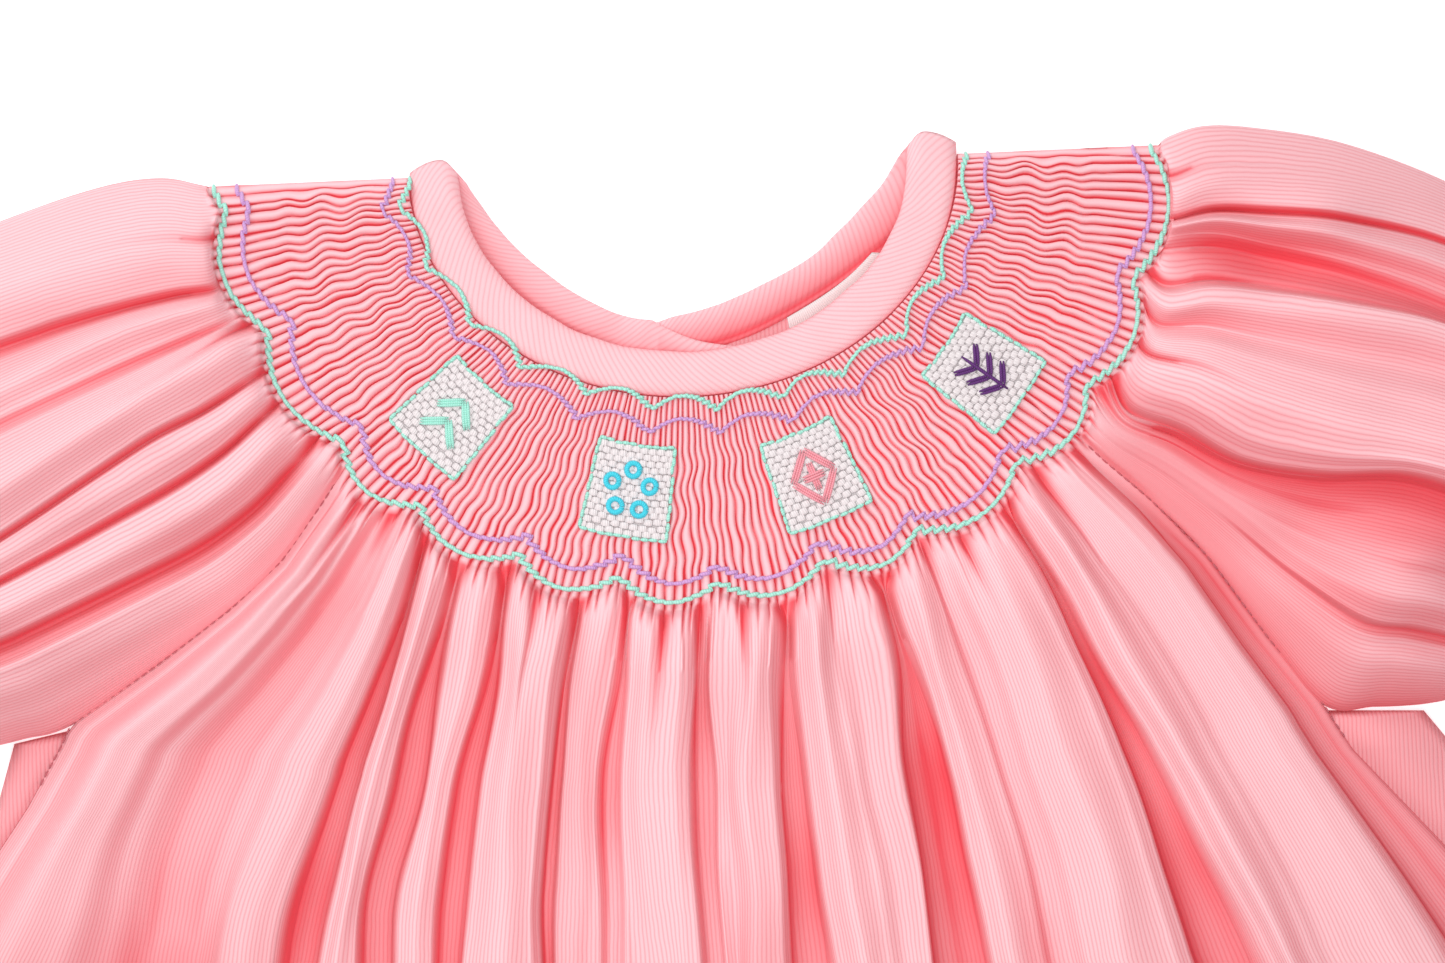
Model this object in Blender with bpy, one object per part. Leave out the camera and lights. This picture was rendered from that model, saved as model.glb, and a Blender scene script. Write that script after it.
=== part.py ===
"""A child's smocked dress laid flat with its front up, in metres, +Z up, the floor at z = 0.

Every cloth piece is a wall: an inner surface worked out from the pattern's sizes, and the same
surface moved out by the cloth's thickness. Sizes are in millimetres until the mesh is made.
X runs to the dress's side at the right of the picture, Y from hem to neck. The plan's zero is the
middle of the shoulder line, and the finished pieces are moved so that the box stands centred.
"""

import math

import bmesh
import bpy
from mathutils import Vector

MM = 0.001

# Cloth
CLOTH = 1.2  # thickness of the wall
SEAM_GAP = 0.3  # between two pieces sewn together, and between layers that lie on each other
FLOOR = CLOTH  # inner surface of a layer whose outer surface lies on the floor

# Neck and smocked yoke, seen from above around the middle of the shoulder line
RING_MIDDLE = (0.0, -5.0)
NECK_HALF_WIDTH = 58.5
NECK_FRONT_DEPTH = 48.6
NECK_BACK_DEPTH = 41.0
BINDING_WIDTH = 11.7
BINDING_SIDE_WIDTH = 13.0
BINDING_THICKNESS = 1.8
ROUND_NECK = 2.0  # power of the neck's outline: 2 is an ellipse
PEAKED_NECK = 1.5  # nearer 1 is a diamond, as the back neck is drawn to its lap
YOKE_DEPTH_FRONT = 108.5  # from the ring's middle to the smocking's lower edge, at the centre
YOKE_DEPTH_SIDE = 119.0
SCALLOP_DEPTH = 5.0
SCALLOP_ANGLE = 14.65
SCALLOP_START = 1.4
YOKE_ROWS = 6
PLEAT_HEIGHT = 1.5
FRONT_PLEATS = 72
SLEEVE_PLEATS = 25

# Raglan lines at the yoke, in degrees down from each shoulder
RAGLAN_RIGHT = 37.0
RAGLAN_LEFT = 39.5

# Heights of the inner surface where the front lies over the back
YOKE_HEIGHT = 4.4
SHOULDER_HEIGHT = 5.4
SEAM_HEIGHT = 3.8
VALLEY_LEAST = 3.4

# Skirt
HEM_MIDDLE_Y = -575.0
HEM_SIDE_Y = -560.0
CHEST_Y = -165.0
HIP_Y = -215.0
HEM_FULLNESS = 1.25  # how much higher the folds stand at the hem than at the chest
GATHER_SHARE = 0.45  # of the way from the yoke to the chest, in which the folds reach their height
SEAM_PULL_PLEATS = 14.0  # columns this near a raglan seam follow its bend

# The seams that the front shares with the sleeves and the sides. Each row of the front ends on
# them: how far down from the yoke (0) to the chest line (1) it is, then where it meets each seam.
SEAM_ROWS = (
    # (down, right x, right y, left x, left y)
    (0.10, 106.0, -86.5, -98.5, -90.0),
    (0.24, 118.0, -97.5, -109.0, -103.5),
    (0.44, 132.0, -112.5, -123.0, -115.5),
    (0.68, 147.0, -134.5, -143.0, -129.5),
    (0.90, 161.0, -153.0, -166.0, -144.0),
)
UNDERARM_ROW = 0.94, 163.0, -156.8, -168.5, -149.2

# Side seams and outlines below the underarm: right seam, right outline, left seam, left outline
SIDE_ROWS = (
    # (y at the side, right seam x, right outline x, left seam x, left outline x)
    (CHEST_Y, 168.0, 193.0, -178.0, -185.5),
    (-190.0, 190.0, 211.0, -196.0, -204.0),
    (HIP_Y, 211.0, 227.0, -211.0, -221.0),
    (-265.0, 232.0, 244.0, -232.0, -242.0),
    (-330.0, 252.0, 264.0, -252.0, -263.0),
    (-405.0, 271.0, 283.0, -271.0, -282.5),
    (-485.0, 287.0, 299.0, -287.0, -298.5),
    (HEM_SIDE_Y, 300.0, 312.0, -300.0, -312.0),
)
UNDERARM_OUTLINE = 187.0, -180.5
CORNER_DROP = 2.6  # how far under the sleeve's edge the back's side turns up
CORNER_OUT = 1.2

# The front's folds. Each row is a ridge or a valley that runs from a pleat of the yoke to the hem.
FOLDS = (
    # (pleat from the left raglan, x at the chest, x at the hip, x at the hem, height)
    (2, -163.0, -190.0, -281.0, 13.0),
    (5, -136.0, -149.0, -236.0, 6.5),
    (7, -113.0, -130.0, -202.0, 14.0),
    (9, -101.0, -120.0, -178.0, VALLEY_LEAST),
    (11, -90.0, -106.0, -154.0, 13.0),
    (13, -80.0, -92.0, -131.0, VALLEY_LEAST),
    (15, -71.5, -80.0, -112.0, 10.0),
    (17, -63.0, -72.0, -97.0, VALLEY_LEAST),
    (20, -52.0, -57.5, -78.0, 13.5),
    (24, -39.5, -45.5, -60.0, VALLEY_LEAST),
    (26, -34.0, -37.5, -46.0, 8.0),
    (28, -28.5, -28.5, -33.0, 5.0),
    (31, -13.0, -13.5, -15.0, 13.5),
    (36, -5.0, -2.5, -1.0, 4.0),
    (39, 11.0, 11.5, 14.0, 14.5),
    (42, 21.5, 22.5, 28.0, VALLEY_LEAST),
    (45, 33.0, 38.0, 52.0, 14.0),
    (48, 42.0, 48.0, 71.0, 7.5),
    (50, 50.0, 56.0, 86.0, 12.0),
    (52, 57.5, 65.0, 102.0, VALLEY_LEAST),
    (54, 65.5, 76.0, 118.0, 10.5),
    (57, 74.5, 86.5, 134.0, 6.0),
    (60, 94.0, 106.0, 163.0, 15.0),
    (64, 111.0, 125.5, 190.0, VALLEY_LEAST),
    (66, 122.5, 141.0, 213.0, 14.0),
    (68, 134.0, 157.0, 238.0, 7.0),
    (70, 151.0, 181.0, 266.0, 13.0),
    (71, 160.0, 197.0, 286.0, 5.0),
)

# Sections across a sleeve beyond the yoke, from the yoke's edge to the cuff seam. Up to the
# underarm the lower end lies on the raglan seam, so those rows share its points.
SLEEVE_TOPS = (
    # (right x, right y, left x, left y, puff height, bow towards the cuff)
    (126.5, -3.2, -126.5, -4.5, 8.0, 6.5),
    (136.0, -0.7, -136.0, -2.4, 12.0, 6.5),
    (150.0, -1.8, -150.0, -3.6, 16.0, 6.0),
    (172.0, -6.6, -170.0, -9.0, 20.0, 5.0),
    (198.0, -17.5, -196.0, -18.5, 23.0, 3.0),
)
SLEEVE_LOWER_ROWS = (
    # (right x, right y, left x, left y, then the top's four, puff height, bow)
    (174.0, -154.0, -178.0, -147.0, 219.0, -31.0, -217.0, -32.0, 23.0, 2.0),
    (184.0, -154.0, -188.0, -149.0, 234.0, -49.0, -232.0, -49.0, 18.0, 1.0),
    (190.0, -153.5, -194.0, -150.0, 240.0, -68.0, -238.0, -68.0, 12.0, 0.5),
    (193.0, -153.0, -197.0, -150.0, 241.0, -81.0, -240.0, -81.0, 9.0, 0.0),
)
PUFF_ROUNDNESS = 0.7  # 1 is a sine across the sleeve, and less is fuller at its edges
WAVE_PUFF = 12.0  # sections lower than this have lower folds
CUFF_WIDTH = 10.0
CUFF_THICKNESS = 1.6

# The sleeves' folds, each a ridge or a valley from a pleat of the yoke to the cuff seam
SLEEVE_FOLDS_RIGHT = (
    # (pleat up from the raglan, share of the way up at the middle, the same at the cuff, height)
    (0.0, 0.0, 0.0, 0.0),
    (1.5, 0.10, 0.10, 1.0),
    (3.0, 0.30, 0.22, -4.0),
    (6.0, 0.42, 0.34, 3.5),
    (9.0, 0.52, 0.45, -1.0),
    (12.0, 0.60, 0.55, 2.0),
    (14.0, 0.66, 0.64, -2.5),
    (17.0, 0.73, 0.72, 1.5),
    (19.0, 0.79, 0.80, -3.5),
    (22.0, 0.88, 0.90, 1.5),
    (25.0, 1.0, 1.0, 0.0),
)
SLEEVE_FOLDS_LEFT = (
    # (pleat up from the raglan, share of the way up at the middle, the same at the cuff, height)
    (0.0, 0.0, 0.0, 0.0),
    (2.0, 0.08, 0.09, 3.0),
    (4.0, 0.18, 0.18, -4.0),
    (6.0, 0.26, 0.28, 2.5),
    (9.0, 0.36, 0.38, -3.0),
    (13.0, 0.50, 0.50, 2.5),
    (15.0, 0.58, 0.60, -1.5),
    (17.0, 0.66, 0.68, 1.5),
    (19.0, 0.76, 0.76, -3.5),
    (22.0, 0.88, 0.88, 1.5),
    (25.0, 1.0, 1.0, 0.0),
)

# Columns of the layers under the front
FOLD_ROUNDING = 3.0  # how far in from a folded edge the layer bends
SIDE_SWELL = 0.8  # how much higher the folded side lies than its seam
SLEEVE_BACK_COLUMNS = 7
BACK_COLUMNS = 8
BACK_FLOOR_KEYS = range(4, 4 + BACK_COLUMNS)  # the four before them go round the folded side

# Back opening
LAP = 12.0
LAP_FOOT_X, LAP_HEAD_X = 5.0, 1.5  # where the upper half leaves the floor and where it is up
LAP_HEAD_DROP, LAP_TAIL_DROP = 3.9, 9.4  # how far its neck edge slants down
LAP_FOOT_Y = -195.0  # the opening ends above this line
BINDING_LAP_END = 67.0  # degrees from the right shoulder where the upper end stops
BINDING_LAP_START = 97.0
BINDING_UNDER_END = 104.0
BINDING_LAP_DROP = 11.0
TIP_LIFT = 4.0  # how far the binding stands above the shoulder line at its two tips
TIP_SPREAD = 14.0  # degrees
TIP_TURN = 4.0  # degrees from the tip where the back layer starts
BINDING_STEPS = 18
BINDING_ACROSS = (0.0, 0.15, 0.5, 0.85, 1.0)  # shares of the width
BINDING_FULLNESS = (0.45, 0.9, 1.0, 0.9, 0.45)  # shares of the thickness there
LAP_RISE_ANGLE = 8.0  # degrees over which the upper end climbs onto the lower one

# Label under the right half of the back neck
LABEL_FROM, LABEL_TO = 44.0, 66.0
LABEL_DEPTH = 13.0
LABEL_THICKNESS = 0.6

# Colours, linear
PINK = (0.90, 0.36, 0.41, 1.0)
WHITE = (0.80, 0.76, 0.72, 1.0)


def clear_scene():
    for thing in list(bpy.data.objects):
        bpy.data.objects.remove(thing, do_unlink=True)


def cloth_material(name, colour, roughness=0.85):
    material = bpy.data.materials.new(name)
    material.use_nodes = True
    shader = material.node_tree.nodes["Principled BSDF"]
    shader.inputs["Base Color"].default_value = colour
    shader.inputs["Roughness"].default_value = roughness
    shader.inputs["Metallic"].default_value = 0.0
    return material


def lerp(a, b, share):
    return a + (b - a) * share


def smooth(share):
    share = min(1.0, max(0.0, share))
    return share * share * (3.0 - 2.0 * share)


def read_table(x, table, column):
    """The table's value at x, smoothly from one row to the next; the first column holds x."""
    for first, second in zip(table, table[1:]):
        if x <= second[0]:
            share = (x - first[0]) / (second[0] - first[0])
            return lerp(first[column], second[column], smooth(share))
    return table[-1][column]


def read_straight(x, table, column):
    """As read_table, in straight lines."""
    for first, second in zip(table, table[1:]):
        if x <= second[0]:
            share = (x - first[0]) / (second[0] - first[0])
            return lerp(first[column], second[column], share)
    return table[-1][column]


def ring_radius(angle, half_width, depth, power=ROUND_NECK):
    """Distance from the ring's middle to a rounded outline, at an angle down from the shoulder."""
    across = abs(math.cos(math.radians(angle))) / half_width
    down = abs(math.sin(math.radians(angle))) / depth
    return (across**power + down**power) ** (-1.0 / power)


def ring_point(angle, radius, z):
    """A point of the ring. The angle runs from the right shoulder, over the front, to the left."""
    turn = math.radians(angle)
    return Vector((
        RING_MIDDLE[0] + radius * math.cos(turn),
        RING_MIDDLE[1] - radius * math.sin(turn),
        z,
    ))


def neck_seam(angle, back=False):
    """Radius of the seam between the binding and the yoke."""
    side = NECK_HALF_WIDTH + BINDING_SIDE_WIDTH
    if back:
        return ring_radius(angle, side, NECK_BACK_DEPTH + BINDING_WIDTH, PEAKED_NECK)
    return ring_radius(angle, side, NECK_FRONT_DEPTH + BINDING_WIDTH)


def yoke_edge(angle):
    """Radius of the smocking's lower edge, which is scalloped."""
    sideways = math.cos(math.radians(angle)) ** 2
    scallop = abs(math.sin(math.pi * (angle - SCALLOP_START) / SCALLOP_ANGLE))
    return lerp(YOKE_DEPTH_FRONT, YOKE_DEPTH_SIDE, sideways) + SCALLOP_DEPTH * scallop


def yoke_line(angle):
    """The same edge without its scallops, as on the plain layer that lies on the floor."""
    sideways = math.cos(math.radians(angle)) ** 2
    return lerp(YOKE_DEPTH_FRONT, YOKE_DEPTH_SIDE, sideways) + SCALLOP_DEPTH / 2


def front_height(angle):
    """Height of the front yoke's inner surface."""
    return lerp(YOKE_HEIGHT, SHOULDER_HEIGHT, math.cos(math.radians(angle)) ** 2)


def nearest(row, key):
    return min(row, key=lambda point: abs(point[0] - key))[1]


def outward(rows):
    """A unit vector out of the wall at each point of a grid whose rows may differ in columns."""
    found = []
    for i, row in enumerate(rows):
        above = rows[max(i - 1, 0)]
        below = rows[min(i + 1, len(rows) - 1)]
        normals = []
        for j, (key, _) in enumerate(row):
            along = row[min(j + 1, len(row) - 1)][1] - row[max(j - 1, 0)][1]
            down = nearest(below, key) - nearest(above, key)
            normals.append(down.cross(along).normalized())
        found.append(normals)
    return found


def stitch(mesh, first, second):
    """Faces between two rows of (key, vertex), whose columns may differ."""
    i = j = 0
    while i < len(first) - 1 or j < len(second) - 1:
        more_first = i < len(first) - 1
        more_second = j < len(second) - 1
        if more_first and more_second and first[i + 1][0] == second[j + 1][0]:
            corners = first[i][1], first[i + 1][1], second[j + 1][1], second[j][1]
            i, j = i + 1, j + 1
        elif not more_second or (more_first and first[i + 1][0] < second[j + 1][0]):
            corners = first[i][1], first[i + 1][1], second[j][1]
            i += 1
        else:
            corners = first[i][1], second[j + 1][1], second[j][1]
            j += 1
        mesh.faces.new(corners)


def closed_wall(name, inner, outer, material):
    """One closed body from the rows of its inner and its outer surface."""
    mesh = bmesh.new()
    sides = []
    for rows in (inner, outer):
        sides.append([[(key, mesh.verts.new(point)) for key, point in row] for row in rows])
    for rows in sides:
        for first, second in zip(rows, rows[1:]):
            stitch(mesh, first, second)
    inside, outside = sides
    stitch(mesh, inside[0], outside[0])
    stitch(mesh, inside[-1], outside[-1])
    for end in (0, -1):
        edge_in = [(i, row[end][1]) for i, row in enumerate(inside)]
        edge_out = [(i, row[end][1]) for i, row in enumerate(outside)]
        stitch(mesh, edge_in, edge_out)
    bmesh.ops.recalc_face_normals(mesh, faces=mesh.faces)
    data = bpy.data.meshes.new(name)
    mesh.to_mesh(data)
    mesh.free()
    data.shade_smooth()
    data.set_sharp_from_angle(angle=math.radians(50))
    piece = bpy.data.objects.new(name, data)
    piece.data.materials.append(material)
    bpy.context.collection.objects.link(piece)
    return piece


def cloth_piece(name, rows, material, thickness=CLOTH, pleated=None, square=None, corner=None):
    """A wall on rows of (key, point). The first and the last column go straight up or down, as two
    pieces do where they meet. pleated(row, key) says whether a raised pleat follows. square is the
    way along a tube whose ends are cut square. corner is the (row, key) where an edge on the floor
    turns up, and faces down and to the neck."""
    normals = outward(rows)
    inner, outer = [], []
    for i, row in enumerate(rows):
        out_row = []
        for j, (key, point) in enumerate(row):
            normal = normals[i][j]
            if square and i in (0, len(rows) - 1):
                normal = (normal - square * normal.dot(square)).normalized()
            if j in (0, len(row) - 1):
                normal = Vector((0.0, 0.0, math.copysign(1.0, normal.z)))
            if corner == (i, key):
                normal = Vector((0.0, 1.0, -0.6)).normalized()
            out_row.append((key, point + normal * thickness))
            if pleated and j < len(row) - 1 and pleated(i, key):
                middle = (point + row[j + 1][1]) / 2
                lean = (normals[i][j] + normals[i][j + 1]).normalized()
                out_row.append((key + 0.5, middle + lean * (thickness + PLEAT_HEIGHT)))
        inner.append(row)
        outer.append(out_row)
    return closed_wall(name, inner, outer, material)


def yoke_radii(angle, back=False):
    """Radii of the yoke's rows at one angle, from the neck seam to the scalloped edge."""
    start = neck_seam(angle, back) + SEAM_GAP
    return [lerp(start, yoke_edge(angle), row / (YOKE_ROWS - 1)) for row in range(YOKE_ROWS)]


def seam_points(side):
    """(share down, x, y) of the raglan seam on one side, from the yoke's edge to the chest."""
    angle = RAGLAN_RIGHT if side > 0 else 180.0 - RAGLAN_LEFT
    start = ring_point(angle, yoke_edge(angle), 0.0)
    rows = [(0.0, start.x, start.y)]
    for row in SEAM_ROWS + (UNDERARM_ROW,):
        rows.append((row[0], row[1], row[2]) if side > 0 else (row[0], row[3], row[4]))
    chest = SIDE_ROWS[0]
    rows.append((1.0, chest[1] if side > 0 else chest[3], chest[0]))
    return rows


def front_angle(pleat):
    return lerp(180.0 - RAGLAN_LEFT, RAGLAN_RIGHT, pleat / FRONT_PLEATS)


def fold_table():
    """The folds with the two seams as the first and the last row."""
    chest, hip, hem = SIDE_ROWS[0], SIDE_ROWS[2], SIDE_ROWS[-1]
    left = (0, chest[3], hip[3], hem[3], SEAM_HEIGHT)
    right = (FRONT_PLEATS, chest[1], hip[1], hem[1], SEAM_HEIGHT)
    return (left,) + FOLDS + (right,)


def skirt_y(x, side_x, side_y):
    """The skirt's rows run level at the chest and bow down in the middle at the hem."""
    bow = (HEM_MIDDLE_Y - HEM_SIDE_Y) * max(0.0, (HIP_Y - side_y) / (HIP_Y - HEM_SIDE_Y))
    return side_y + bow * (1.0 - (x / side_x) ** 2)


def front_rows():
    """Rows of the front's inner surface, from the neck to the hem."""
    table = fold_table()
    keys = range(FRONT_PLEATS + 1)
    rows = []
    for row in range(YOKE_ROWS):
        points = []
        for key in keys:
            angle = front_angle(key)
            points.append((key, ring_point(angle, yoke_radii(angle)[row], front_height(angle))))
        rows.append(points)
    seams = seam_points(-1), seam_points(1)
    for row in range(1, len(seams[0])):
        points = []
        for key in keys:
            start = rows[YOKE_ROWS - 1][key][1]
            end_x = read_straight(key, table, 1)
            down = seams[1][row][0]
            x = lerp(start.x, end_x, down)
            y = lerp(start.y, CHEST_Y, down)
            for seam, near in zip(seams, (key, FRONT_PLEATS - key)):
                pull = max(0.0, 1.0 - near / SEAM_PULL_PLEATS) ** 2
                _, first_x, first_y = seam[0]
                _, last_x, last_y = seam[-1]
                x += pull * (seam[row][1] - lerp(first_x, last_x, down))
                y += pull * (seam[row][2] - lerp(first_y, last_y, down))
            rise = smooth(down / GATHER_SHARE)
            z = lerp(start.z, read_table(key, table, 4), rise)
            if key in (0, FRONT_PLEATS):
                z = seam_height(down)
            points.append((key, Vector((x, y, z))))
        rows.append(points)
    for side_y, *_ in SIDE_ROWS[1:]:
        points = []
        for key in keys:
            x, side_x, z = skirt_place(key, side_y, table)
            points.append((key, Vector((x, skirt_y(x, side_x, side_y), z))))
        rows.append(points)
    return rows


def skirt_place(key, side_y, table):
    """x, the side seam's x and z of one column of the front below the chest."""
    if side_y >= HIP_Y:
        share = (CHEST_Y - side_y) / (CHEST_Y - HIP_Y)
        x = lerp(read_straight(key, table, 1), read_straight(key, table, 2), share)
    else:
        share = (HIP_Y - side_y) / (HIP_Y - HEM_SIDE_Y)
        spread = side_seam_x(side_y, 1)
        hip_x, hem_x = read_straight(key, table, 2), read_straight(key, table, 3)
        hip_side, hem_side = SIDE_ROWS[2][1], SIDE_ROWS[-1][1]
        x = spread * lerp(hip_x / hip_side, hem_x / hem_side, share)
    if key in (0, FRONT_PLEATS):
        x = side_seam_x(side_y, -1 if key == 0 else 1)
        return x, abs(x), SEAM_HEIGHT
    height = read_table(key, table, 4)
    down = (CHEST_Y - side_y) / (CHEST_Y - HEM_SIDE_Y)
    z = VALLEY_LEAST + (height - VALLEY_LEAST) * lerp(1.0, HEM_FULLNESS, down)
    return x, side_seam_x(side_y, 1), z


def side_seam_x(side_y, side):
    column = 1 if side > 0 else 3
    for first, second in zip(SIDE_ROWS, SIDE_ROWS[1:]):
        if side_y >= second[0]:
            share = (first[0] - side_y) / (first[0] - second[0])
            return lerp(first[column], second[column], share)
    return SIDE_ROWS[-1][column]


def seam_height(down):
    """Height of the raglan seam's inner edge, from the yoke (0) to the chest (1)."""
    return lerp(front_height(RAGLAN_RIGHT), SEAM_HEIGHT, smooth(down / GATHER_SHARE))


def inset_ends(rows, gap=SEAM_GAP / 2):
    """Half the seam's gap taken off both ends of each row."""
    done = []
    for row in rows:
        row = list(row)
        for end, beside in ((0, 1), (-1, -2)):
            key, point = row[end]
            step = row[beside][1] - point
            step.z = 0.0
            row[end] = key, point + step.normalized() * gap
        done.append(row)
    return done


def make_front(material):
    rows = inset_ends(front_rows())
    return cloth_piece("front", rows, material, pleated=lambda row, key: row < YOKE_ROWS)


def back_raglan_row(side, start, down):
    """Points on the floor from the raglan seam to the centre back, at a share of the way down from
    the yoke (0), whose round edge they follow, to the level chest (1)."""
    raglan = RAGLAN_RIGHT if side > 0 else 180.0 - RAGLAN_LEFT
    yoke_start = ring_point(raglan, yoke_line(raglan), FLOOR)
    yoke_end = ring_point(90.0, yoke_line(90.0), FLOOR)
    middle = Vector((0.0, lerp(yoke_end.y, CHEST_Y, down), FLOOR))
    points = []
    for i, key in enumerate(BACK_FLOOR_KEYS):
        share = i / (BACK_COLUMNS - 1)
        angle = lerp(raglan, 90.0, share)
        bow = ring_point(angle, yoke_line(angle), FLOOR) - yoke_start.lerp(yoke_end, share)
        points.append((key, start.lerp(middle, share) + bow * (1.0 - down)))
    return points


def back_rows(side):
    """Rows of one half of the back, from the side to the centre back. Below the underarm each row
    starts at the side seam, on top, and goes round the folded side down to the floor."""
    laps = side < 0
    raglan = RAGLAN_RIGHT if side > 0 else 180.0 - RAGLAN_LEFT
    rows = []
    for row in range(YOKE_ROWS - 1):
        share = row / (YOKE_ROWS - 2)
        points = []
        for i, key in enumerate(BACK_FLOOR_KEYS):
            angle = lerp(raglan, 90.0, i / (BACK_COLUMNS - 1))
            radius = lerp(neck_seam(angle, back=True) + SEAM_GAP, yoke_line(angle), share)
            points.append((key, ring_point(angle, radius, FLOOR)))
        rows.append(lap_over(points, side, neck=1.0 - share) if laps else points)
    for down, x, y in seam_points(side)[1:-2]:
        points = back_raglan_row(side, Vector((x, y, FLOOR)), down)
        rows.append(lap_over(points, side) if laps else points)
    first_key, corner = rows[-1][0]
    turn_up = Vector((side * CORNER_OUT, -CORNER_DROP, (SEAM_HEIGHT - FLOOR) / 2))
    rows[-1][0] = first_key, corner + turn_up
    down, seam_x, side_y = seam_points(side)[-2]
    outline_x = UNDERARM_OUTLINE[0] if side > 0 else UNDERARM_OUTLINE[1]
    start = Vector((outline_x - side * FOLD_ROUNDING, side_y, FLOOR))
    points = back_raglan_row(side, start, down)
    points = lap_over(points, side) if laps else points
    rows.append(wrap_points(seam_x, outline_x, side_y, side) + points)
    for side_y, right_seam, right_outline, left_seam, left_outline in SIDE_ROWS:
        seam_x = right_seam if side > 0 else left_seam
        outline_x = right_outline if side > 0 else left_outline
        points = []
        for i, key in enumerate(BACK_FLOOR_KEYS):
            x = lerp(outline_x - side * FOLD_ROUNDING, 0.0, i / (BACK_COLUMNS - 1))
            points.append((key, Vector((x, skirt_y(x, abs(outline_x), side_y), FLOOR))))
        if laps and side_y >= CHEST_Y:
            points = lap_over(points, side)
        elif laps and side_y >= LAP_FOOT_Y:
            points = lap_over(points, side, reach=0.0)
        rows.append(wrap_points(seam_x, outline_x, side_y, side) + points)
    return rows


def lap_over(points, side, reach=LAP, neck=0.0):
    """The half that laps over rises at the centre back and reaches past it. At the neck (1) it
    keeps below the binding's end, which slants down."""
    rise = FLOOR + CLOTH + SEAM_GAP
    key, end = points[-1]
    foot = Vector((side * LAP_FOOT_X, end.y, FLOOR))
    rest = [point for point in points[:-1] if abs(point[1].x) > 2 * LAP_FOOT_X]
    head = Vector((side * LAP_HEAD_X, end.y - neck * LAP_HEAD_DROP, rise))
    tail = Vector((-side * reach, end.y - neck * LAP_TAIL_DROP, rise))
    return rest + [(key - 0.6, foot), (key - 0.3, head), (key, tail)]


def wrap_points(seam_x, outline_x, side_y, side):
    """From the side seam, on top, round the folded side to the floor."""
    width = abs(outline_x) - abs(seam_x)
    near = min(FOLD_ROUNDING, width / 3)
    tops = (
        (seam_x, SEAM_HEIGHT),
        (seam_x + side * width / 2, SEAM_HEIGHT + SIDE_SWELL),
        (outline_x - side * near, SEAM_HEIGHT),
        (outline_x, (SEAM_HEIGHT + FLOOR) / 2),
    )
    return [(key, Vector((x, side_y, z))) for key, (x, z) in enumerate(tops)]


def make_back(side, material):
    name = "back_right" if side > 0 else "back_left"
    rows = inset_ends(back_rows(side))
    corner_row = YOKE_ROWS - 2 + len(SEAM_ROWS)
    corner_key = rows[corner_row][0][0]
    if side < 0:
        rows = [[(-key, point) for key, point in reversed(row)] for row in rows]
        corner_key = -corner_key
    return cloth_piece(name, rows, material, corner=(corner_row, corner_key))


def section(bottom, top, puff, bow, heights, lift_bottom, side):
    """The top of one section across a sleeve, from (key, share up, wave) of each column."""
    outwards = Vector((side * (top.y - bottom.y), -side * (top.x - bottom.x), 0.0)).normalized()
    points = []
    for key, share, wave in heights:
        place = bottom.lerp(top, share) + outwards * (bow * 4.0 * share * (1.0 - share))
        dome = math.sin(math.pi * share) ** PUFF_ROUNDNESS
        calm = min(1.0, 4.0 * share, 4.0 * (1.0 - share)) * min(1.0, puff / WAVE_PUFF)
        place.z = lift_bottom + puff * dome + wave * calm
        points.append((key, place))
    return points


def sleeve_heights(row_share, folds):
    """(key, share up, wave) of each column on top at one row; row_share runs from yoke to cuff."""
    found = []
    for key in range(SLEEVE_PLEATS):
        at_yoke = key / SLEEVE_PLEATS
        at_middle = read_straight(key, folds, 1)
        at_cuff = read_straight(key, folds, 2)
        if row_share < 0.5:
            share = lerp(at_yoke, at_middle, smooth(row_share * 2.0))
        else:
            share = lerp(at_middle, at_cuff, row_share * 2.0 - 1.0)
        found.append((key, share, read_table(key, folds, 3)))
    return found


def fold_and_floor(bottom, top, bow, side):
    """The folded edge at the top of a section and the layer under it."""
    outwards = Vector((side * (top.y - bottom.y), -side * (top.x - bottom.x), 0.0)).normalized()
    tip = top.copy()
    tip.z = (SEAM_HEIGHT + FLOOR) / 2
    points = [(SLEEVE_PLEATS, tip)]
    length = (top - bottom).length
    for column in range(SLEEVE_BACK_COLUMNS):
        share = lerp(1.0 - FOLD_ROUNDING / length, 0.0, column / (SLEEVE_BACK_COLUMNS - 1))
        place = bottom.lerp(top, share) + outwards * (bow * 4.0 * share * (1.0 - share))
        place.z = FLOOR
        points.append((SLEEVE_PLEATS + 1 + column, place))
    return points


def sleeve_yoke_rows(side):
    raglan = RAGLAN_RIGHT if side > 0 else RAGLAN_LEFT
    rows = []
    for row in range(YOKE_ROWS):
        points = []
        for key in range(SLEEVE_PLEATS + 1):
            angle = lerp(raglan, 0.0, key / SLEEVE_PLEATS)
            ring_angle = angle if side > 0 else 180.0 - angle
            point = ring_point(ring_angle, yoke_radii(ring_angle)[row], front_height(ring_angle))
            if key == SLEEVE_PLEATS:
                point.z = (SHOULDER_HEIGHT + FLOOR) / 2
            points.append((key, point))
        for column in range(SLEEVE_BACK_COLUMNS):
            share = column / (SLEEVE_BACK_COLUMNS - 1)
            first = math.degrees(FOLD_ROUNDING / YOKE_DEPTH_SIDE)
            angle = lerp(first, raglan, share)
            ring_angle = angle if side > 0 else 180.0 - angle
            start = neck_seam(ring_angle, back=True) + SEAM_GAP
            radius = lerp(start, yoke_line(ring_angle), row / (YOKE_ROWS - 1))
            point = ring_point(ring_angle, radius, FLOOR)
            points.append((SLEEVE_PLEATS + 1 + column, point))
        rows.append(points)
    return rows


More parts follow.
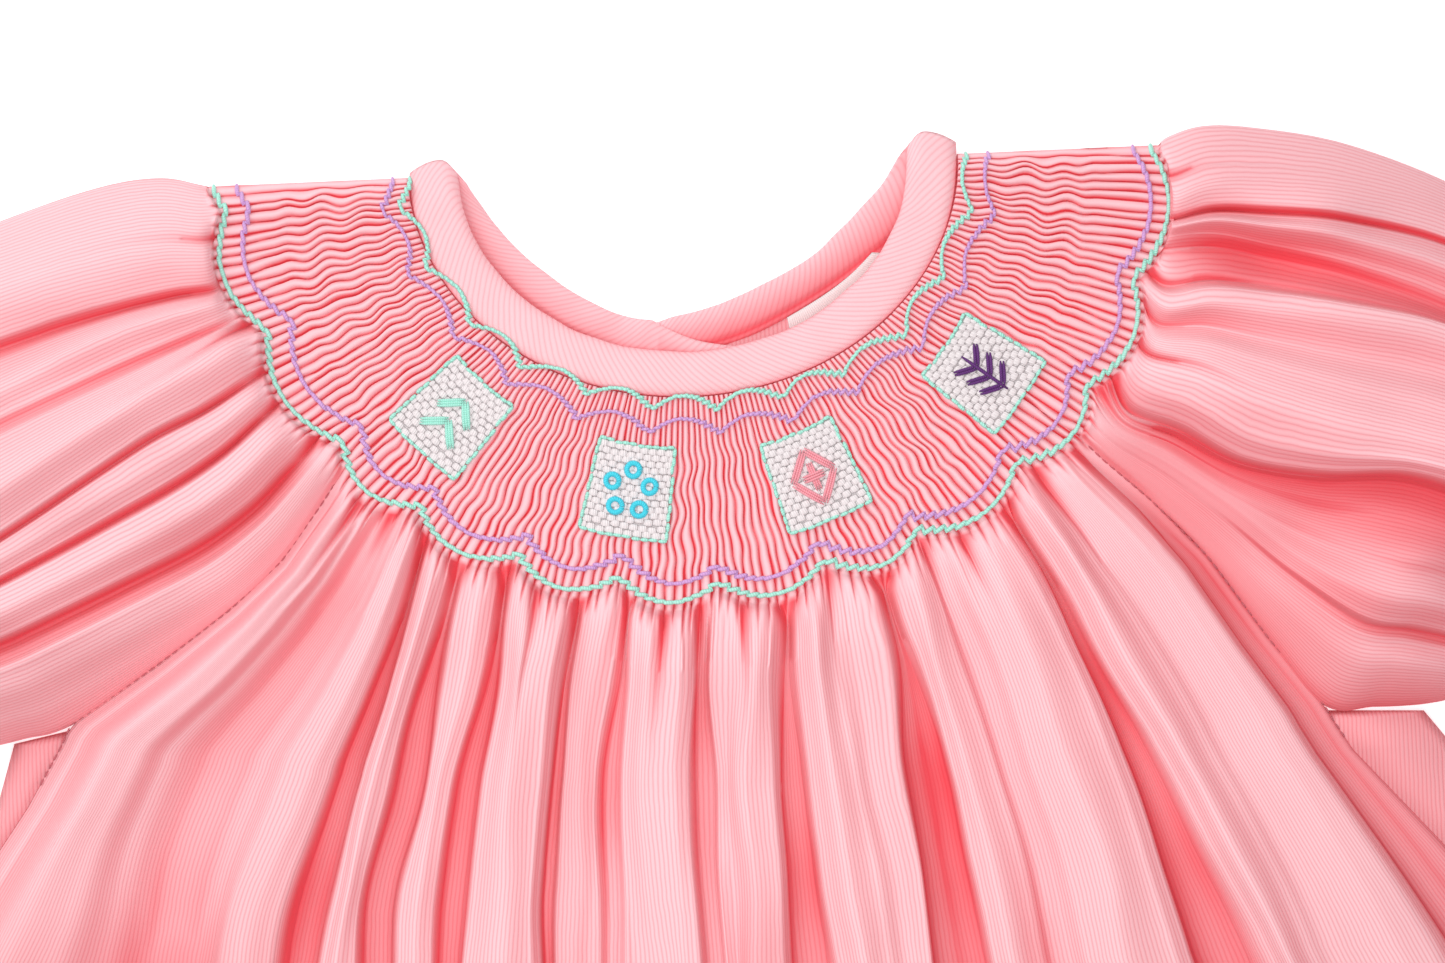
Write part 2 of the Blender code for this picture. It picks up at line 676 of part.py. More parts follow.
def sleeve_sections(side):
    """(bottom, top, puff, bow) of each section beyond the yoke."""
    found = []
    for seam, top in zip(SEAM_ROWS, SLEEVE_TOPS):
        low = (seam[1], seam[2]) if side > 0 else (seam[3], seam[4])
        high = (top[0], top[1]) if side > 0 else (top[2], top[3])
        found.append((Vector((*low, 0.0)), Vector((*high, 0.0)), top[4], top[5]))
    for row in SLEEVE_LOWER_ROWS:
        low = (row[0], row[1]) if side > 0 else (row[2], row[3])
        high = (row[4], row[5]) if side > 0 else (row[6], row[7])
        found.append((Vector((*low, 0.0)), Vector((*high, 0.0)), row[8], row[9]))
    return found


def sleeve_rows(side):
    folds = SLEEVE_FOLDS_RIGHT if side > 0 else SLEEVE_FOLDS_LEFT
    rows = sleeve_yoke_rows(side)
    sections = sleeve_sections(side)
    for i, (bottom, top, puff, bow) in enumerate(sections):
        row_share = (i + 1) / len(sections)
        down = SEAM_ROWS[i][0] if i < len(SEAM_ROWS) else 1.0
        heights = sleeve_heights(row_share, folds)
        low = seam_height(down) if i < len(SEAM_ROWS) else SEAM_HEIGHT
        points = section(bottom, top, puff, bow, heights, low, side)
        rows.append(points + fold_and_floor(bottom, top, bow, side))
    return rows


def make_sleeve(side, material):
    name = "sleeve_right" if side > 0 else "sleeve_left"
    rows = inset_ends(sleeve_rows(side))
    if side < 0:
        rows = [[(-key, point) for key, point in reversed(row)] for row in rows]

    def pleated(row, key):
        if side < 0:
            return row < YOKE_ROWS and -SLEEVE_PLEATS < key < 0
        return row < YOKE_ROWS and key < SLEEVE_PLEATS - 1

    return cloth_piece(name, rows, material, pleated=pleated, square=cuff_direction(side))


def cuff_direction(side):
    """The way out of the sleeve, square to its cuff seam."""
    bottom, top, _, _ = sleeve_sections(side)[-1]
    return Vector((side * (top.y - bottom.y), -side * (top.x - bottom.x), 0.0)).normalized()


def make_cuff(side, material):
    """A plain bias band on the sleeve's end, open as the sleeve is."""
    name = "cuff_right" if side > 0 else "cuff_left"
    bottom, top, puff, _ = sleeve_sections(side)[-1]
    outwards = cuff_direction(side)
    thicker = CUFF_THICKNESS - CLOTH
    rows = []
    for distance in (SEAM_GAP, SEAM_GAP + CUFF_WIDTH / 2, SEAM_GAP + CUFF_WIDTH):
        low, high = bottom + outwards * distance, top + outwards * distance
        columns = [(key, key / SLEEVE_PLEATS, 0.0) for key in range(0, SLEEVE_PLEATS, 2)]
        points = section(low, high, puff, 0.0, columns, SEAM_HEIGHT, side)
        points += fold_and_floor(low, high, 0.0, side)
        for key, point in points:
            if key > SLEEVE_PLEATS:
                point.z += thicker
        rows.append(points)
    rows = inset_ends(rows)
    if side < 0:
        rows = [[(-key, point) for key, point in reversed(row)] for row in rows]
    return cloth_piece(name, rows, material, thickness=CUFF_THICKNESS, square=outwards)


def binding_station(angle, layer):
    """Middle surface of the binding across its width at one angle of one layer."""
    back = layer != "front"
    depth = NECK_BACK_DEPTH if back else NECK_FRONT_DEPTH
    power = PEAKED_NECK if back else ROUND_NECK
    inner = ring_radius(angle, NECK_HALF_WIDTH, depth, power)
    outer = neck_seam(angle, back)
    from_tip = min(angle, 180.0 - angle)
    lift = TIP_LIFT * math.exp(-((from_tip / TIP_SPREAD) ** 2))
    if layer == "front":
        height = front_height(angle) + BINDING_THICKNESS / 2
    elif layer == "over":
        lapped = smooth((BINDING_UNDER_END + LAP_RISE_ANGLE - angle) / LAP_RISE_ANGLE)
        height = BINDING_THICKNESS * 0.5 + lapped * (BINDING_THICKNESS + SEAM_GAP)
        drop = max(0.0, BINDING_LAP_START - angle) / (BINDING_LAP_START - BINDING_LAP_END)
        inner += BINDING_LAP_DROP * drop
        outer += BINDING_LAP_DROP * drop
    else:
        height = BINDING_THICKNESS * 0.5
    if from_tip == 0.0:
        height = (SHOULDER_HEIGHT + BINDING_THICKNESS) / 2
    points = []
    for share in BINDING_ACROSS:
        point = ring_point(angle, lerp(inner, outer, share), height)
        point.y += lift
        points.append(point)
    return points


def make_binding(material):
    """The bias strip round the neck, in one length, its left end lapped over its right one."""
    steps = BINDING_STEPS
    under = [lerp(BINDING_UNDER_END, TIP_TURN, i / steps) for i in range(steps + 1)]
    front = [lerp(0.0, 180.0, i / (2 * steps)) for i in range(2 * steps + 1)]
    over = [lerp(180.0 - TIP_TURN, BINDING_LAP_END, i / steps) for i in range(steps + 1)]
    stations = [binding_station(angle, "under") for angle in under]
    stations += [binding_station(angle, "front") for angle in front]
    stations += [binding_station(angle, "over") for angle in over]
    rows = [[(j, point) for j, point in enumerate(points)] for points in stations]
    normals = outward(rows)
    half = [BINDING_THICKNESS * share / 2 for share in BINDING_FULLNESS]
    sides = []
    for sign in (-1.0, 1.0):
        moved = []
        for row, row_normals in zip(rows, normals):
            moved.append([
                (key, point + normal * (sign * depth))
                for (key, point), normal, depth in zip(row, row_normals, half)
            ])
        sides.append(moved)
    return closed_wall("neck_binding", sides[0], sides[1], material)


def make_label(material):
    """A plain woven label flat on the inside of the back, its upper edge at the binding."""
    rows = []
    columns = 5
    height = FLOOR + SEAM_GAP
    for share in (0.0, 1.0):
        row = []
        for i in range(columns):
            angle = lerp(LABEL_TO, LABEL_FROM, i / (columns - 1))
            radius = neck_seam(angle, back=True) + 2 * SEAM_GAP + LABEL_DEPTH * share
            row.append((i, ring_point(angle, radius, height)))
        rows.append(row)
    return cloth_piece("label", rows, material, thickness=LABEL_THICKNESS)


def stand_centred():
    """Moves every piece so that the box around them is centred over the origin."""
    pieces = [thing for thing in bpy.data.objects if thing.type == "MESH"]
    corners = [vertex.co for piece in pieces for vertex in piece.data.vertices]
    low = Vector((min(c[i] for c in corners) for i in range(3)))
    high = Vector((max(c[i] for c in corners) for i in range(3)))
    middle = (low + high) / 2
    middle.z = low.z
    for piece in pieces:
        for vertex in piece.data.vertices:
            vertex.co = (vertex.co - middle) * MM


def main():
    clear_scene()
    make_front(cloth_material("front_pique", PINK))
    for side, word in ((1, "right"), (-1, "left")):
        make_back(side, cloth_material(f"back_{word}_pique", PINK))
        make_sleeve(side, cloth_material(f"sleeve_{word}_pique", PINK))
        make_cuff(side, cloth_material(f"cuff_{word}_bias", PINK))
    make_binding(cloth_material("neck_bias", PINK))
    make_label(cloth_material("label_cotton", WHITE))
    stand_centred()


main()
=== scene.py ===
"""The looks of a child's smocked dress that lies flat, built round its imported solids.

Plan sizes are in millimetres, as on a pattern: x to the side at the right of the picture, y from
hem to neck, zero at the middle of the shoulder line, z up from the floor.
"""

import math

import bmesh
import bpy
import numpy as np
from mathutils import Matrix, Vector


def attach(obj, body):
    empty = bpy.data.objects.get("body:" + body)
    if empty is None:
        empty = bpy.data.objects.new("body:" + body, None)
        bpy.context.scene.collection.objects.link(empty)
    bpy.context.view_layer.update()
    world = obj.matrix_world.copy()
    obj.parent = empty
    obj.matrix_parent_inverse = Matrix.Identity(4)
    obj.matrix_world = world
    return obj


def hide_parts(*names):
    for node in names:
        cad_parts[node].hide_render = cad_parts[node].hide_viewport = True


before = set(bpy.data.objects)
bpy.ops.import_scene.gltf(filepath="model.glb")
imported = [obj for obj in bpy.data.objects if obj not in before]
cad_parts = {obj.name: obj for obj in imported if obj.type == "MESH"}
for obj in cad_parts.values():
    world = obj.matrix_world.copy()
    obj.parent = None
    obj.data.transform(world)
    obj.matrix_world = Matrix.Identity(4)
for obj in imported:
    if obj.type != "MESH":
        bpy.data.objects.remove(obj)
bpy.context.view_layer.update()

MM = 0.001
PLAN_SHIFT = 287.25  # from the shoulder line to the middle of the box

# Cloth
CLOTH = 1.2
SEAM_GAP = 0.3
FLOOR = CLOTH
RIB = 1.1
BIAS_RIB = 1.3

# Neck and yoke
RING_MIDDLE = (0.0, -5.0)
NECK_HALF_WIDTH = 58.5
NECK_FRONT_DEPTH = 48.6
NECK_BACK_DEPTH = 41.0
BINDING_WIDTH = 11.7
BINDING_SIDE_WIDTH = 13.0
RAGLAN_RIGHT = 37.0
RAGLAN_LEFT = 39.5
FRONT_PLEATS = 72  # pleats that the fold table counts
SLEEVE_PLEATS = 25
FINE_FRONT = 84 / FRONT_PLEATS  # pleats shown for each of those
FINE_SLEEVE = 31 / SLEEVE_PLEATS
YOKE_HEIGHT = 4.4
SHOULDER_HEIGHT = 5.4
SEAM_HEIGHT = 3.8
VALLEY_LEAST = 3.4
PLEAT_HEIGHT = 2.6
PLEAT_ROUNDNESS = 0.42
YOKE_BELOW_THREAD = 1.6
YOKE_DRAW = 0.3  # how far the smocking draws the cloth in
PLEAT_SEED_FRONT, PLEAT_SEED_SLEEVE = 21, 23
RIB_PLEAT = 2.2  # mm of ribs for each pleat of the yoke
RIBS_ON_YOKE = 0.15
SHOULDER_PLEATS = 0.35  # how much of the pleats' height is left on the shoulder line
INNER_PAINTED_SHADE = 0.5  # painted shade: the cloth's inner side is a little deeper red all over

# Smocking: where the four thread rows have their points, seen from the ring's middle
LOWER_POINTS = np.array((
    # (angle, mint radius, lavender radius)
    (-14.0, 121.8, 117.4),
    (0.8, 121.8, 117.1),
    (16.7, 120.2, 115.7),
    (31.2, 119.2, 113.6),
    (44.3, 115.8, 110.9),
    (60.0, 112.4, 108.0),
    (72.8, 108.8, 103.9),
    (87.7, 108.7, 104.4),
    (101.3, 108.1, 102.3),
    (115.3, 109.9, 104.5),
    (130.2, 111.7, 106.0),
    (143.2, 113.6, 107.2),
    (160.6, 115.7, 109.0),
    (176.5, 118.7, 112.8),
    (191.0, 119.0, 113.0),
))
UPPER_POINTS = np.array((
    # (angle, mint radius, lavender radius)
    (-3.0, 77.3, 83.0),
    (11.7, 76.4, 82.4),
    (26.0, 74.1, 80.5),
    (39.8, 73.3, 78.7),
    (55.1, 69.0, 74.9),
    (69.1, 66.2, 72.9),
    (84.6, 64.5, 70.5),
    (99.7, 64.4, 70.5),
    (115.2, 64.9, 71.6),
    (131.1, 67.8, 73.4),
    (145.5, 69.6, 75.0),
    (160.7, 72.4, 77.4),
    (173.7, 75.0, 79.6),
    (187.0, 76.0, 80.5),
))
LOWER_BOW = 5.6  # the lower rows bow out between their points
UPPER_BOW = 4.3  # the upper rows bow in

# Skirt
HEM_MIDDLE_Y = -575.0
HEM_SIDE_Y = -560.0
CHEST_Y = -165.0
HIP_Y = -215.0
HEM_FULLNESS = 1.2
FOLD_SCALE = 1.25
GATHER_SHARE = 0.42
SEAM_PULL_PLEATS = 14.0

SEAM_ROWS = (
    # (down, right x, right y, left x, left y)
    (0.10, 106.0, -86.5, -98.5, -90.0),
    (0.24, 118.0, -97.5, -109.0, -103.5),
    (0.44, 132.0, -112.5, -123.0, -115.5),
    (0.68, 147.0, -134.5, -143.0, -129.5),
    (0.90, 161.0, -153.0, -166.0, -144.0),
    (0.94, 163.0, -156.8, -168.5, -149.2),
)
SIDE_ROWS = np.array((
    # (y at the side, right seam x, left seam x)
    (CHEST_Y, 168.0, -178.0),
    (-190.0, 190.0, -196.0),
    (HIP_Y, 211.0, -211.0),
    (-265.0, 232.0, -232.0),
    (-330.0, 252.0, -252.0),
    (-405.0, 271.0, -271.0),
    (-485.0, 287.0, -287.0),
    (HEM_SIDE_Y, 300.0, -300.0),
))

# The front's folds, each a ridge or a valley from a pleat of the yoke to the hem
FOLDS = np.array((
    # (pleat, x at the chest, x at the hip, x at the hem, height)
    (0.0, -178.0, -211.0, -300.0, SEAM_HEIGHT),
    (0.9, -172.5, -203.0, -293.0, 6.0),
    (2.0, -163.0, -190.0, -281.0, 13.0),
    (3.2, -155.0, -174.0, -262.0, 12.0),
    (4.0, -149.0, -160.0, -248.0, 8.5),
    (4.8, -140.0, -149.0, -236.0, 5.4),
    (6.0, -124.0, -136.0, -213.0, 5.4),
    (6.4, -119.0, -133.0, -208.0, 8.0),
    (6.8, -114.5, -131.0, -203.0, 12.5),
    (7.8, -107.0, -125.5, -191.0, 13.0),
    (8.6, -100.5, -117.5, -181.0, 11.5),
    (8.9, -98.5, -115.0, -178.0, VALLEY_LEAST),
    (9.5, -92.0, -107.0, -170.0, 4.2),
    (9.9, -90.5, -105.0, -166.0, 10.0),
    (11.0, -88.0, -101.0, -156.0, 12.5),
    (12.1, -85.2, -95.5, -144.0, 11.0),
    (12.5, -84.0, -94.0, -141.0, VALLEY_LEAST),
    (13.4, -76.0, -86.5, -131.0, VALLEY_LEAST),
    (13.8, -74.5, -84.5, -128.0, 9.0),
    (15.0, -71.0, -80.0, -116.0, 10.5),
    (16.2, -67.2, -75.5, -105.0, 9.5),
    (16.6, -66.0, -74.0, -102.0, VALLEY_LEAST),
    (17.4, -60.0, -67.0, -95.0, VALLEY_LEAST),
    (17.8, -58.5, -65.5, -92.0, 10.0),
    (20.0, -52.0, -58.0, -80.0, 13.5),
    (22.8, -43.5, -49.5, -66.0, 12.0),
    (23.6, -41.5, -47.5, -63.5, 10.0),
    (23.9, -40.8, -46.8, -62.0, 4.0),
    (24.3, -38.5, -45.0, -58.0, 4.0),
    (24.7, -37.5, -43.5, -56.0, 8.0),
    (26.0, -34.0, -38.0, -48.0, 8.8),
    (27.8, -30.0, -30.0, -37.0, 8.0),
    (28.2, -28.3, -27.8, -34.0, 5.0),
    (28.9, -24.0, -24.5, -29.0, 5.2),
    (29.3, -22.5, -22.5, -26.0, 9.5),
    (31.0, -16.5, -15.0, -17.0, 12.5),
    (33.5, -9.0, -6.0, -6.5, 13.5),
    (34.6, -6.0, -3.0, -3.5, 12.8),
    (35.0, -4.8, -2.0, -2.0, 5.0),
    (35.8, -0.5, 0.6, 1.0, 5.5),
    (36.3, 0.8, 2.0, 3.0, 9.0),
    (37.4, 3.5, 5.0, 7.0, 9.5),
    (39.5, 10.5, 11.0, 14.5, 14.0),
    (41.2, 16.3, 16.2, 21.0, 13.5),
    (41.8, 17.8, 17.6, 23.0, 11.5),
    (42.2, 18.5, 18.5, 25.0, 4.0),
    (43.4, 25.0, 28.5, 37.0, 4.3),
    (43.8, 26.8, 30.5, 40.0, 10.0),
    (45.0, 33.0, 38.0, 52.0, 14.0),
    (46.8, 38.5, 45.0, 63.0, 12.6),
    (48.0, 42.5, 49.0, 70.0, 11.4),
    (49.0, 46.5, 52.0, 76.0, 12.0),
    (50.2, 50.8, 55.0, 83.0, 12.5),
    (50.6, 52.0, 56.5, 86.0, VALLEY_LEAST),
    (51.3, 56.5, 64.0, 94.0, 4.2),
    (52.2, 62.0, 71.5, 105.0, VALLEY_LEAST),
    (52.6, 63.2, 73.0, 108.0, 9.0),
    (54.0, 67.5, 77.0, 119.0, 11.0),
    (55.6, 75.0, 84.0, 131.0, 9.6),
    (56.2, 77.0, 86.5, 135.0, 8.0),
    (56.9, 80.0, 90.0, 141.0, 8.6),
    (58.2, 85.0, 96.0, 149.0, 12.5),
    (60.0, 94.0, 106.0, 163.0, 15.0),
    (62.3, 105.5, 118.5, 182.0, 13.0),
    (62.9, 109.0, 122.5, 186.0, 11.5),
    (63.2, 110.2, 124.0, 188.0, VALLEY_LEAST),
    (64.2, 115.5, 139.0, 202.0, 4.2),
    (64.6, 117.5, 143.5, 208.0, 10.0),
    (66.0, 123.0, 148.0, 215.0, 14.0),
    (67.4, 131.0, 155.0, 230.0, 11.6),
    (68.0, 134.5, 159.0, 238.0, 10.6),
    (68.8, 140.0, 167.0, 248.0, 11.0),
    (69.8, 149.0, 178.0, 260.0, 13.0),
    (70.4, 154.5, 186.0, 269.0, 13.0),
    (70.7, 156.5, 188.5, 272.0, 11.0),
    (70.95, 158.0, 190.5, 275.0, VALLEY_LEAST),
    (71.5, 164.5, 200.0, 284.0, VALLEY_LEAST),
    (72.0, 168.0, 211.0, 300.0, SEAM_HEIGHT),
))

# Sections across a sleeve beyond the yoke, from the yoke's edge to the cuff seam
SLEEVE_SECTIONS = (
    # (right foot x, y, left foot x, y, right top x, y, left top x, y, puff height, bow)
    (106.0, -86.5, -98.5, -90.0, 126.5, -3.2, -126.5, -4.5, 8.0, 6.5),
    (118.0, -97.5, -109.0, -103.5, 136.0, -0.7, -136.0, -2.4, 12.0, 6.5),
    (132.0, -112.5, -123.0, -115.5, 150.0, -1.8, -150.0, -3.6, 16.0, 6.0),
    (147.0, -134.5, -143.0, -129.5, 172.0, -6.6, -170.0, -9.0, 20.0, 5.0),
    (161.0, -153.0, -166.0, -144.0, 198.0, -17.5, -196.0, -18.5, 23.0, 3.0),
    (174.0, -154.0, -178.0, -147.0, 219.0, -31.0, -217.0, -32.0, 23.0, 2.0),
    (184.0, -154.0, -188.0, -149.0, 234.0, -49.0, -232.0, -49.0, 18.0, 1.0),
    (190.0, -153.5, -194.0, -150.0, 240.0, -68.0, -238.0, -68.0, 12.0, 0.5),
    (193.0, -153.0, -197.0, -150.0, 241.0, -81.0, -240.0, -81.0, 9.0, 0.0),
)
BACK_COLUMNS = 7  # of points across the layer of a sleeve that lies on the floor
BACK_KEYS = SLEEVE_PLEATS + 1.0 + np.arange(BACK_COLUMNS)
SLEEVE_LENGTH = 118.0
SLEEVE_STATIONS = (0.0, 1.0, 3.0, 5.0, 9.0)  # sections at which the folds' places are given
SLEEVE_FOLDS_RIGHT = np.array((
    # (pleat, share up at four sections, height at the third and fifth, depth of painted shade)
    (0.0, 0.00, 0.00, 0.00, 0.00, 0.0, 0.0, 0.35),
    (0.7, 0.02, 0.035, 0.09, 0.09, -1.0, 0.0, 0.2),
    (1.4, 0.04, 0.07, 0.145, 0.14, -1.5, -2.0, 0.3),
    (1.8, 0.055, 0.09, 0.165, 0.165, -1.5, -5.0, 0.6),
    (2.0, 0.06, 0.10, 0.178, 0.185, -1.2, 2.0, 0.2),
    (2.5, 0.075, 0.12, 0.215, 0.23, -1.5, 3.0, 0.15),
    (3.4, 0.095, 0.15, 0.29, 0.30, -3.0, -3.0, 0.42),
    (4.4, 0.12, 0.185, 0.37, 0.39, -5.0, -7.0, 0.74),
    (5.2, 0.14, 0.21, 0.43, 0.465, -6.0, -10.0, 0.95),
    (5.5, 0.155, 0.22, 0.44, 0.475, -3.5, -5.0, 0.7),
    (5.9, 0.18, 0.235, 0.452, 0.487, 3.0, 3.0, 0.08),
    (7.0, 0.245, 0.285, 0.47, 0.51, 6.0, 6.5, 0.0),
    (8.6, 0.32, 0.37, 0.51, 0.56, 7.5, 8.0, 0.08),
    (10.5, 0.38, 0.45, 0.575, 0.63, 4.5, 4.5, 0.14),
    (12.0, 0.43, 0.51, 0.64, 0.69, 1.0, 0.5, 0.22),
    (13.4, 0.48, 0.58, 0.71, 0.745, 4.0, 3.5, 0.1),
    (14.2, 0.52, 0.61, 0.725, 0.755, 3.5, 3.5, 0.05),
    (14.6, 0.55, 0.63, 0.735, 0.765, -2.0, -3.0, 0.7),
    (16.4, 0.66, 0.70, 0.76, 0.785, -6.0, -6.0, 0.8),
    (17.4, 0.70, 0.73, 0.79, 0.81, -2.0, -3.5, 0.45),
    (18.4, 0.725, 0.765, 0.84, 0.85, 3.0, 1.5, 0.12),
    (19.1, 0.74, 0.79, 0.872, 0.875, -1.0, 0.0, 0.35),
    (19.5, 0.75, 0.80, 0.88, 0.885, -4.5, -4.0, 0.85),
    (19.9, 0.765, 0.815, 0.892, 0.895, 0.5, 0.0, 0.1),
    (21.5, 0.83, 0.88, 0.94, 0.94, 2.0, 1.5, 0.14),
    (25.0, 1.00, 1.00, 1.00, 1.00, 0.0, 0.0, 0.1),
))
SLEEVE_FOLDS_LEFT = np.array((
    # (pleat, share up at four sections, height at the third and fifth, depth of painted shade)
    (0.0, 0.00, 0.00, 0.00, 0.00, 0.0, 0.0, 0.1),
    (0.5, 0.01, 0.015, 0.05, 0.05, 4.0, 5.0, 0.0),
    (1.3, 0.04, 0.05, 0.10, 0.10, 6.0, 7.0, 0.0),
    (2.2, 0.08, 0.10, 0.15, 0.155, 4.0, 4.5, 0.0),
    (2.6, 0.10, 0.125, 0.175, 0.18, -2.0, -2.0, 0.6),
    (3.2, 0.13, 0.15, 0.20, 0.205, -6.0, -6.0, 0.9),
    (3.6, 0.15, 0.17, 0.215, 0.22, 1.0, 1.0, 0.2),
    (5.0, 0.21, 0.22, 0.26, 0.27, 4.5, 4.5, 0.0),
    (6.6, 0.27, 0.275, 0.30, 0.31, 2.5, 2.5, 0.0),
    (7.2, 0.295, 0.295, 0.315, 0.32, -4.0, -4.0, 0.75),
    (7.6, 0.31, 0.31, 0.325, 0.335, 1.0, 1.0, 0.1),
    (8.5, 0.345, 0.35, 0.35, 0.36, 3.0, 3.0, 0.0),
    (9.5, 0.385, 0.395, 0.378, 0.385, 2.0, 2.0, 0.05),
    (9.9, 0.40, 0.41, 0.388, 0.395, -4.0, -4.0, 0.7),
    (10.4, 0.42, 0.425, 0.40, 0.41, 1.5, 1.5, 0.1),
    (13.2, 0.53, 0.50, 0.47, 0.49, 6.5, 6.5, 0.0),
    (14.2, 0.57, 0.56, 0.57, 0.575, 2.0, 2.0, 0.12),
    (14.6, 0.58, 0.58, 0.59, 0.60, -3.0, -2.5, 0.45),
    (15.0, 0.60, 0.60, 0.61, 0.615, 0.0, 0.0, 0.12),
    (16.3, 0.65, 0.66, 0.66, 0.67, 4.0, 4.0, 0.0),
    (16.9, 0.67, 0.69, 0.72, 0.73, 2.5, 1.0, 0.3),
    (17.4, 0.69, 0.71, 0.75, 0.77, -4.5, -4.5, 0.75),
    (18.0, 0.71, 0.73, 0.77, 0.79, 0.0, 0.0, 0.25),
    (20.5, 0.82, 0.84, 0.87, 0.88, 3.0, 3.0, 0.0),
    (25.0, 1.00, 1.00, 1.00, 1.00, 0.0, 0.0, 0.0),
))
PUFF_ROUNDNESS = 0.7
WAVE_PUFF = 12.0
LEFT_WAVES = 0.8
# Swells and hollows that break the folds' evenness
SWELLS_RIGHT = (
    # (x, y, height, radius along x, radius along y)
    (182.0, -115.0, 4.5, 14.0, 8.0),
    (157.0, -109.0, -4.0, 13.0, 11.0),
    (188.0, -135.0, -3.0, 14.0, 6.0),
    (163.0, -26.0, 3.5, 12.0, 6.0),
    (150.0, -38.0, -4.0, 11.0, 8.0),
    (142.0, -72.0, 2.0, 16.0, 9.0),
    (180.0, -80.0, -2.0, 12.0, 14.0),
)
SWELLS_LEFT = (
    (-160.0, -32.0, 3.0, 20.0, 8.0),
    (-170.0, -52.0, -3.0, 18.0, 9.0),
    (-140.0, -66.0, 2.5, 13.0, 9.0),
    (-160.0, -95.0, -2.5, 12.0, 9.0),
    (-170.0, -118.0, 3.0, 16.0, 9.0),
    (-130.0, -100.0, -2.5, 9.0, 9.0),
)
CUFF_WIDTH = 10.0
CUFF_PUFF = 1.6
FOLD_ROUNDING = 3.0

# Binding
BACK_NECK_STEP = 18.0  # degrees between the radii of the back binding's upper edge
BACK_NECK = (57.5, 46.7, 41.2, 37.6, 37.0, 38.2, 41.5, 42.7, 45.4, 50.2, 57.5)
BACK_BINDING_WIDTH = 10.8
BINDING_LAP_END = 70.0
BINDING_LAP_START = 104.0
BINDING_UNDER_END = 106.0
BINDING_LAP_SLOPE = 0.29
BINDING_THICKNESS = 1.8
BINDING_CROWN = 1.1
BINDING_COLUMNS = 17
PUCKER_SEEDS = {"under": 61, "front": 62, "over": 63}
TIP_BASE_RIGHT, TIP_BASE_LEFT = 1.7, -0.2
TIP_SPREAD = 9.0
TIP_WIDTH_RIGHT, TIP_WIDTH_LEFT = 19.0, 8.0  # degrees over which the back band widens
LAP_RISE_ANGLE = 8.0
LABEL_FROM, LABEL_TO = 24.0, 61.0
LABEL_DEPTH = 13.0

# The four stitched blocks on the yoke
BLOCKS = (
    # (name, radius of the middle, angle)
    ("mint_block", 89.0, 134.9),
    ("cyan_block", 86.0, 101.7),
    ("pink_block", 88.0, 69.7),
    ("purple_block", 95.0, 37.2),
)
BLOCK_WIDTH_IN, BLOCK_WIDTH_OUT, BLOCK_HEIGHT = 19.3, 22.3, 23.5

SEAM_STITCH, SEAM_STITCH_GAP, SEAM_THREAD = 1.9, 0.6, 0.24  # length, gap, radius

# Colours, linear
PINK = (0.86, 0.59, 0.63, 1.0)
# dark red for the ribs' lines and random tone, and for the painted shade and painted glow of the pique
PINK_TONE_AND_SHADE = (0.70, 0.028, 0.048, 1.0)
# painted shade: the back layer, which lies under the front, is a darker copy of the pink
PINK_BACK_SHADED = (0.80, 0.40, 0.43, 1.0)
MINT = (0.42, 0.88, 0.74, 1.0)
LAVENDER = (0.68, 0.38, 0.74, 1.0)
WHITE_THREAD = (0.80, 0.73, 0.74, 1.0)
# painted shade: the white label gets a darker, pinker colour for the shade it lies in
LABEL_WHITE_SHADED = (0.84, 0.72, 0.72, 1.0)
CYAN_THREAD = (0.06, 0.70, 0.86, 1.0)
PINK_THREAD = (0.95, 0.36, 0.42, 1.0)
PURPLE_THREAD = (0.12, 0.022, 0.18, 1.0)
SEAM_PINK = (0.60, 0.15, 0.18, 1.0)


def lerp(a, b, share):
    return a + (b - a) * share


def smooth(share):
    share = np.clip(share, 0.0, 1.0)
    return share * share * (3.0 - 2.0 * share)


def segment(lines, keys):
    """(which stretch between the lines each key lies in, share of the way along it)."""
    i = np.clip(np.searchsorted(lines, keys, side="right") - 1, 0, len(lines) - 2)
    return i, (keys - lines[i]) / (lines[i + 1] - lines[i])


def from_edge(keys, count):
    """Pleats to the nearer end of a row."""
    return np.minimum(keys, count - keys)


def soft_noise(x, y, seed):
    """Smooth unevenness from -1 to 1, the same on each run."""
    table = np.random.default_rng(seed).uniform(-1.0, 1.0, (64, 64))
    x, y = np.broadcast_arrays(x, y)
    i, j = np.floor(x).astype(int), np.floor(y).astype(int)
    u, v = smooth(x - i), smooth(y - j)
    near = lerp(table[i % 64, j % 64], table[(i + 1) % 64, j % 64], u)
    far = lerp(table[i % 64, (j + 1) % 64], table[(i + 1) % 64, (j + 1) % 64], u)
    return lerp(near, far, v)


def ring_radius(angle, half_width, depth, power=2.0):
    across = np.abs(np.cos(np.radians(angle))) / half_width
    down = np.abs(np.sin(np.radians(angle))) / depth
    return (across**power + down**power) ** (-1.0 / power)


def ring_points(angle, radius, z):
    """Points of the yoke's ring. The angle runs from the right shoulder over the front."""
    turn = np.radians(angle)
    x = RING_MIDDLE[0] + radius * np.cos(turn)
    y = RING_MIDDLE[1] - radius * np.sin(turn)
    return np.stack(np.broadcast_arrays(x, y, z), axis=-1).astype(float)


def neck_seam(angle, back=False):
    side = NECK_HALF_WIDTH + BINDING_SIDE_WIDTH
    if back:
        return ring_radius(angle, side, NECK_BACK_DEPTH + BINDING_WIDTH, 1.5)
    return ring_radius(angle, side, NECK_FRONT_DEPTH + BINDING_WIDTH)


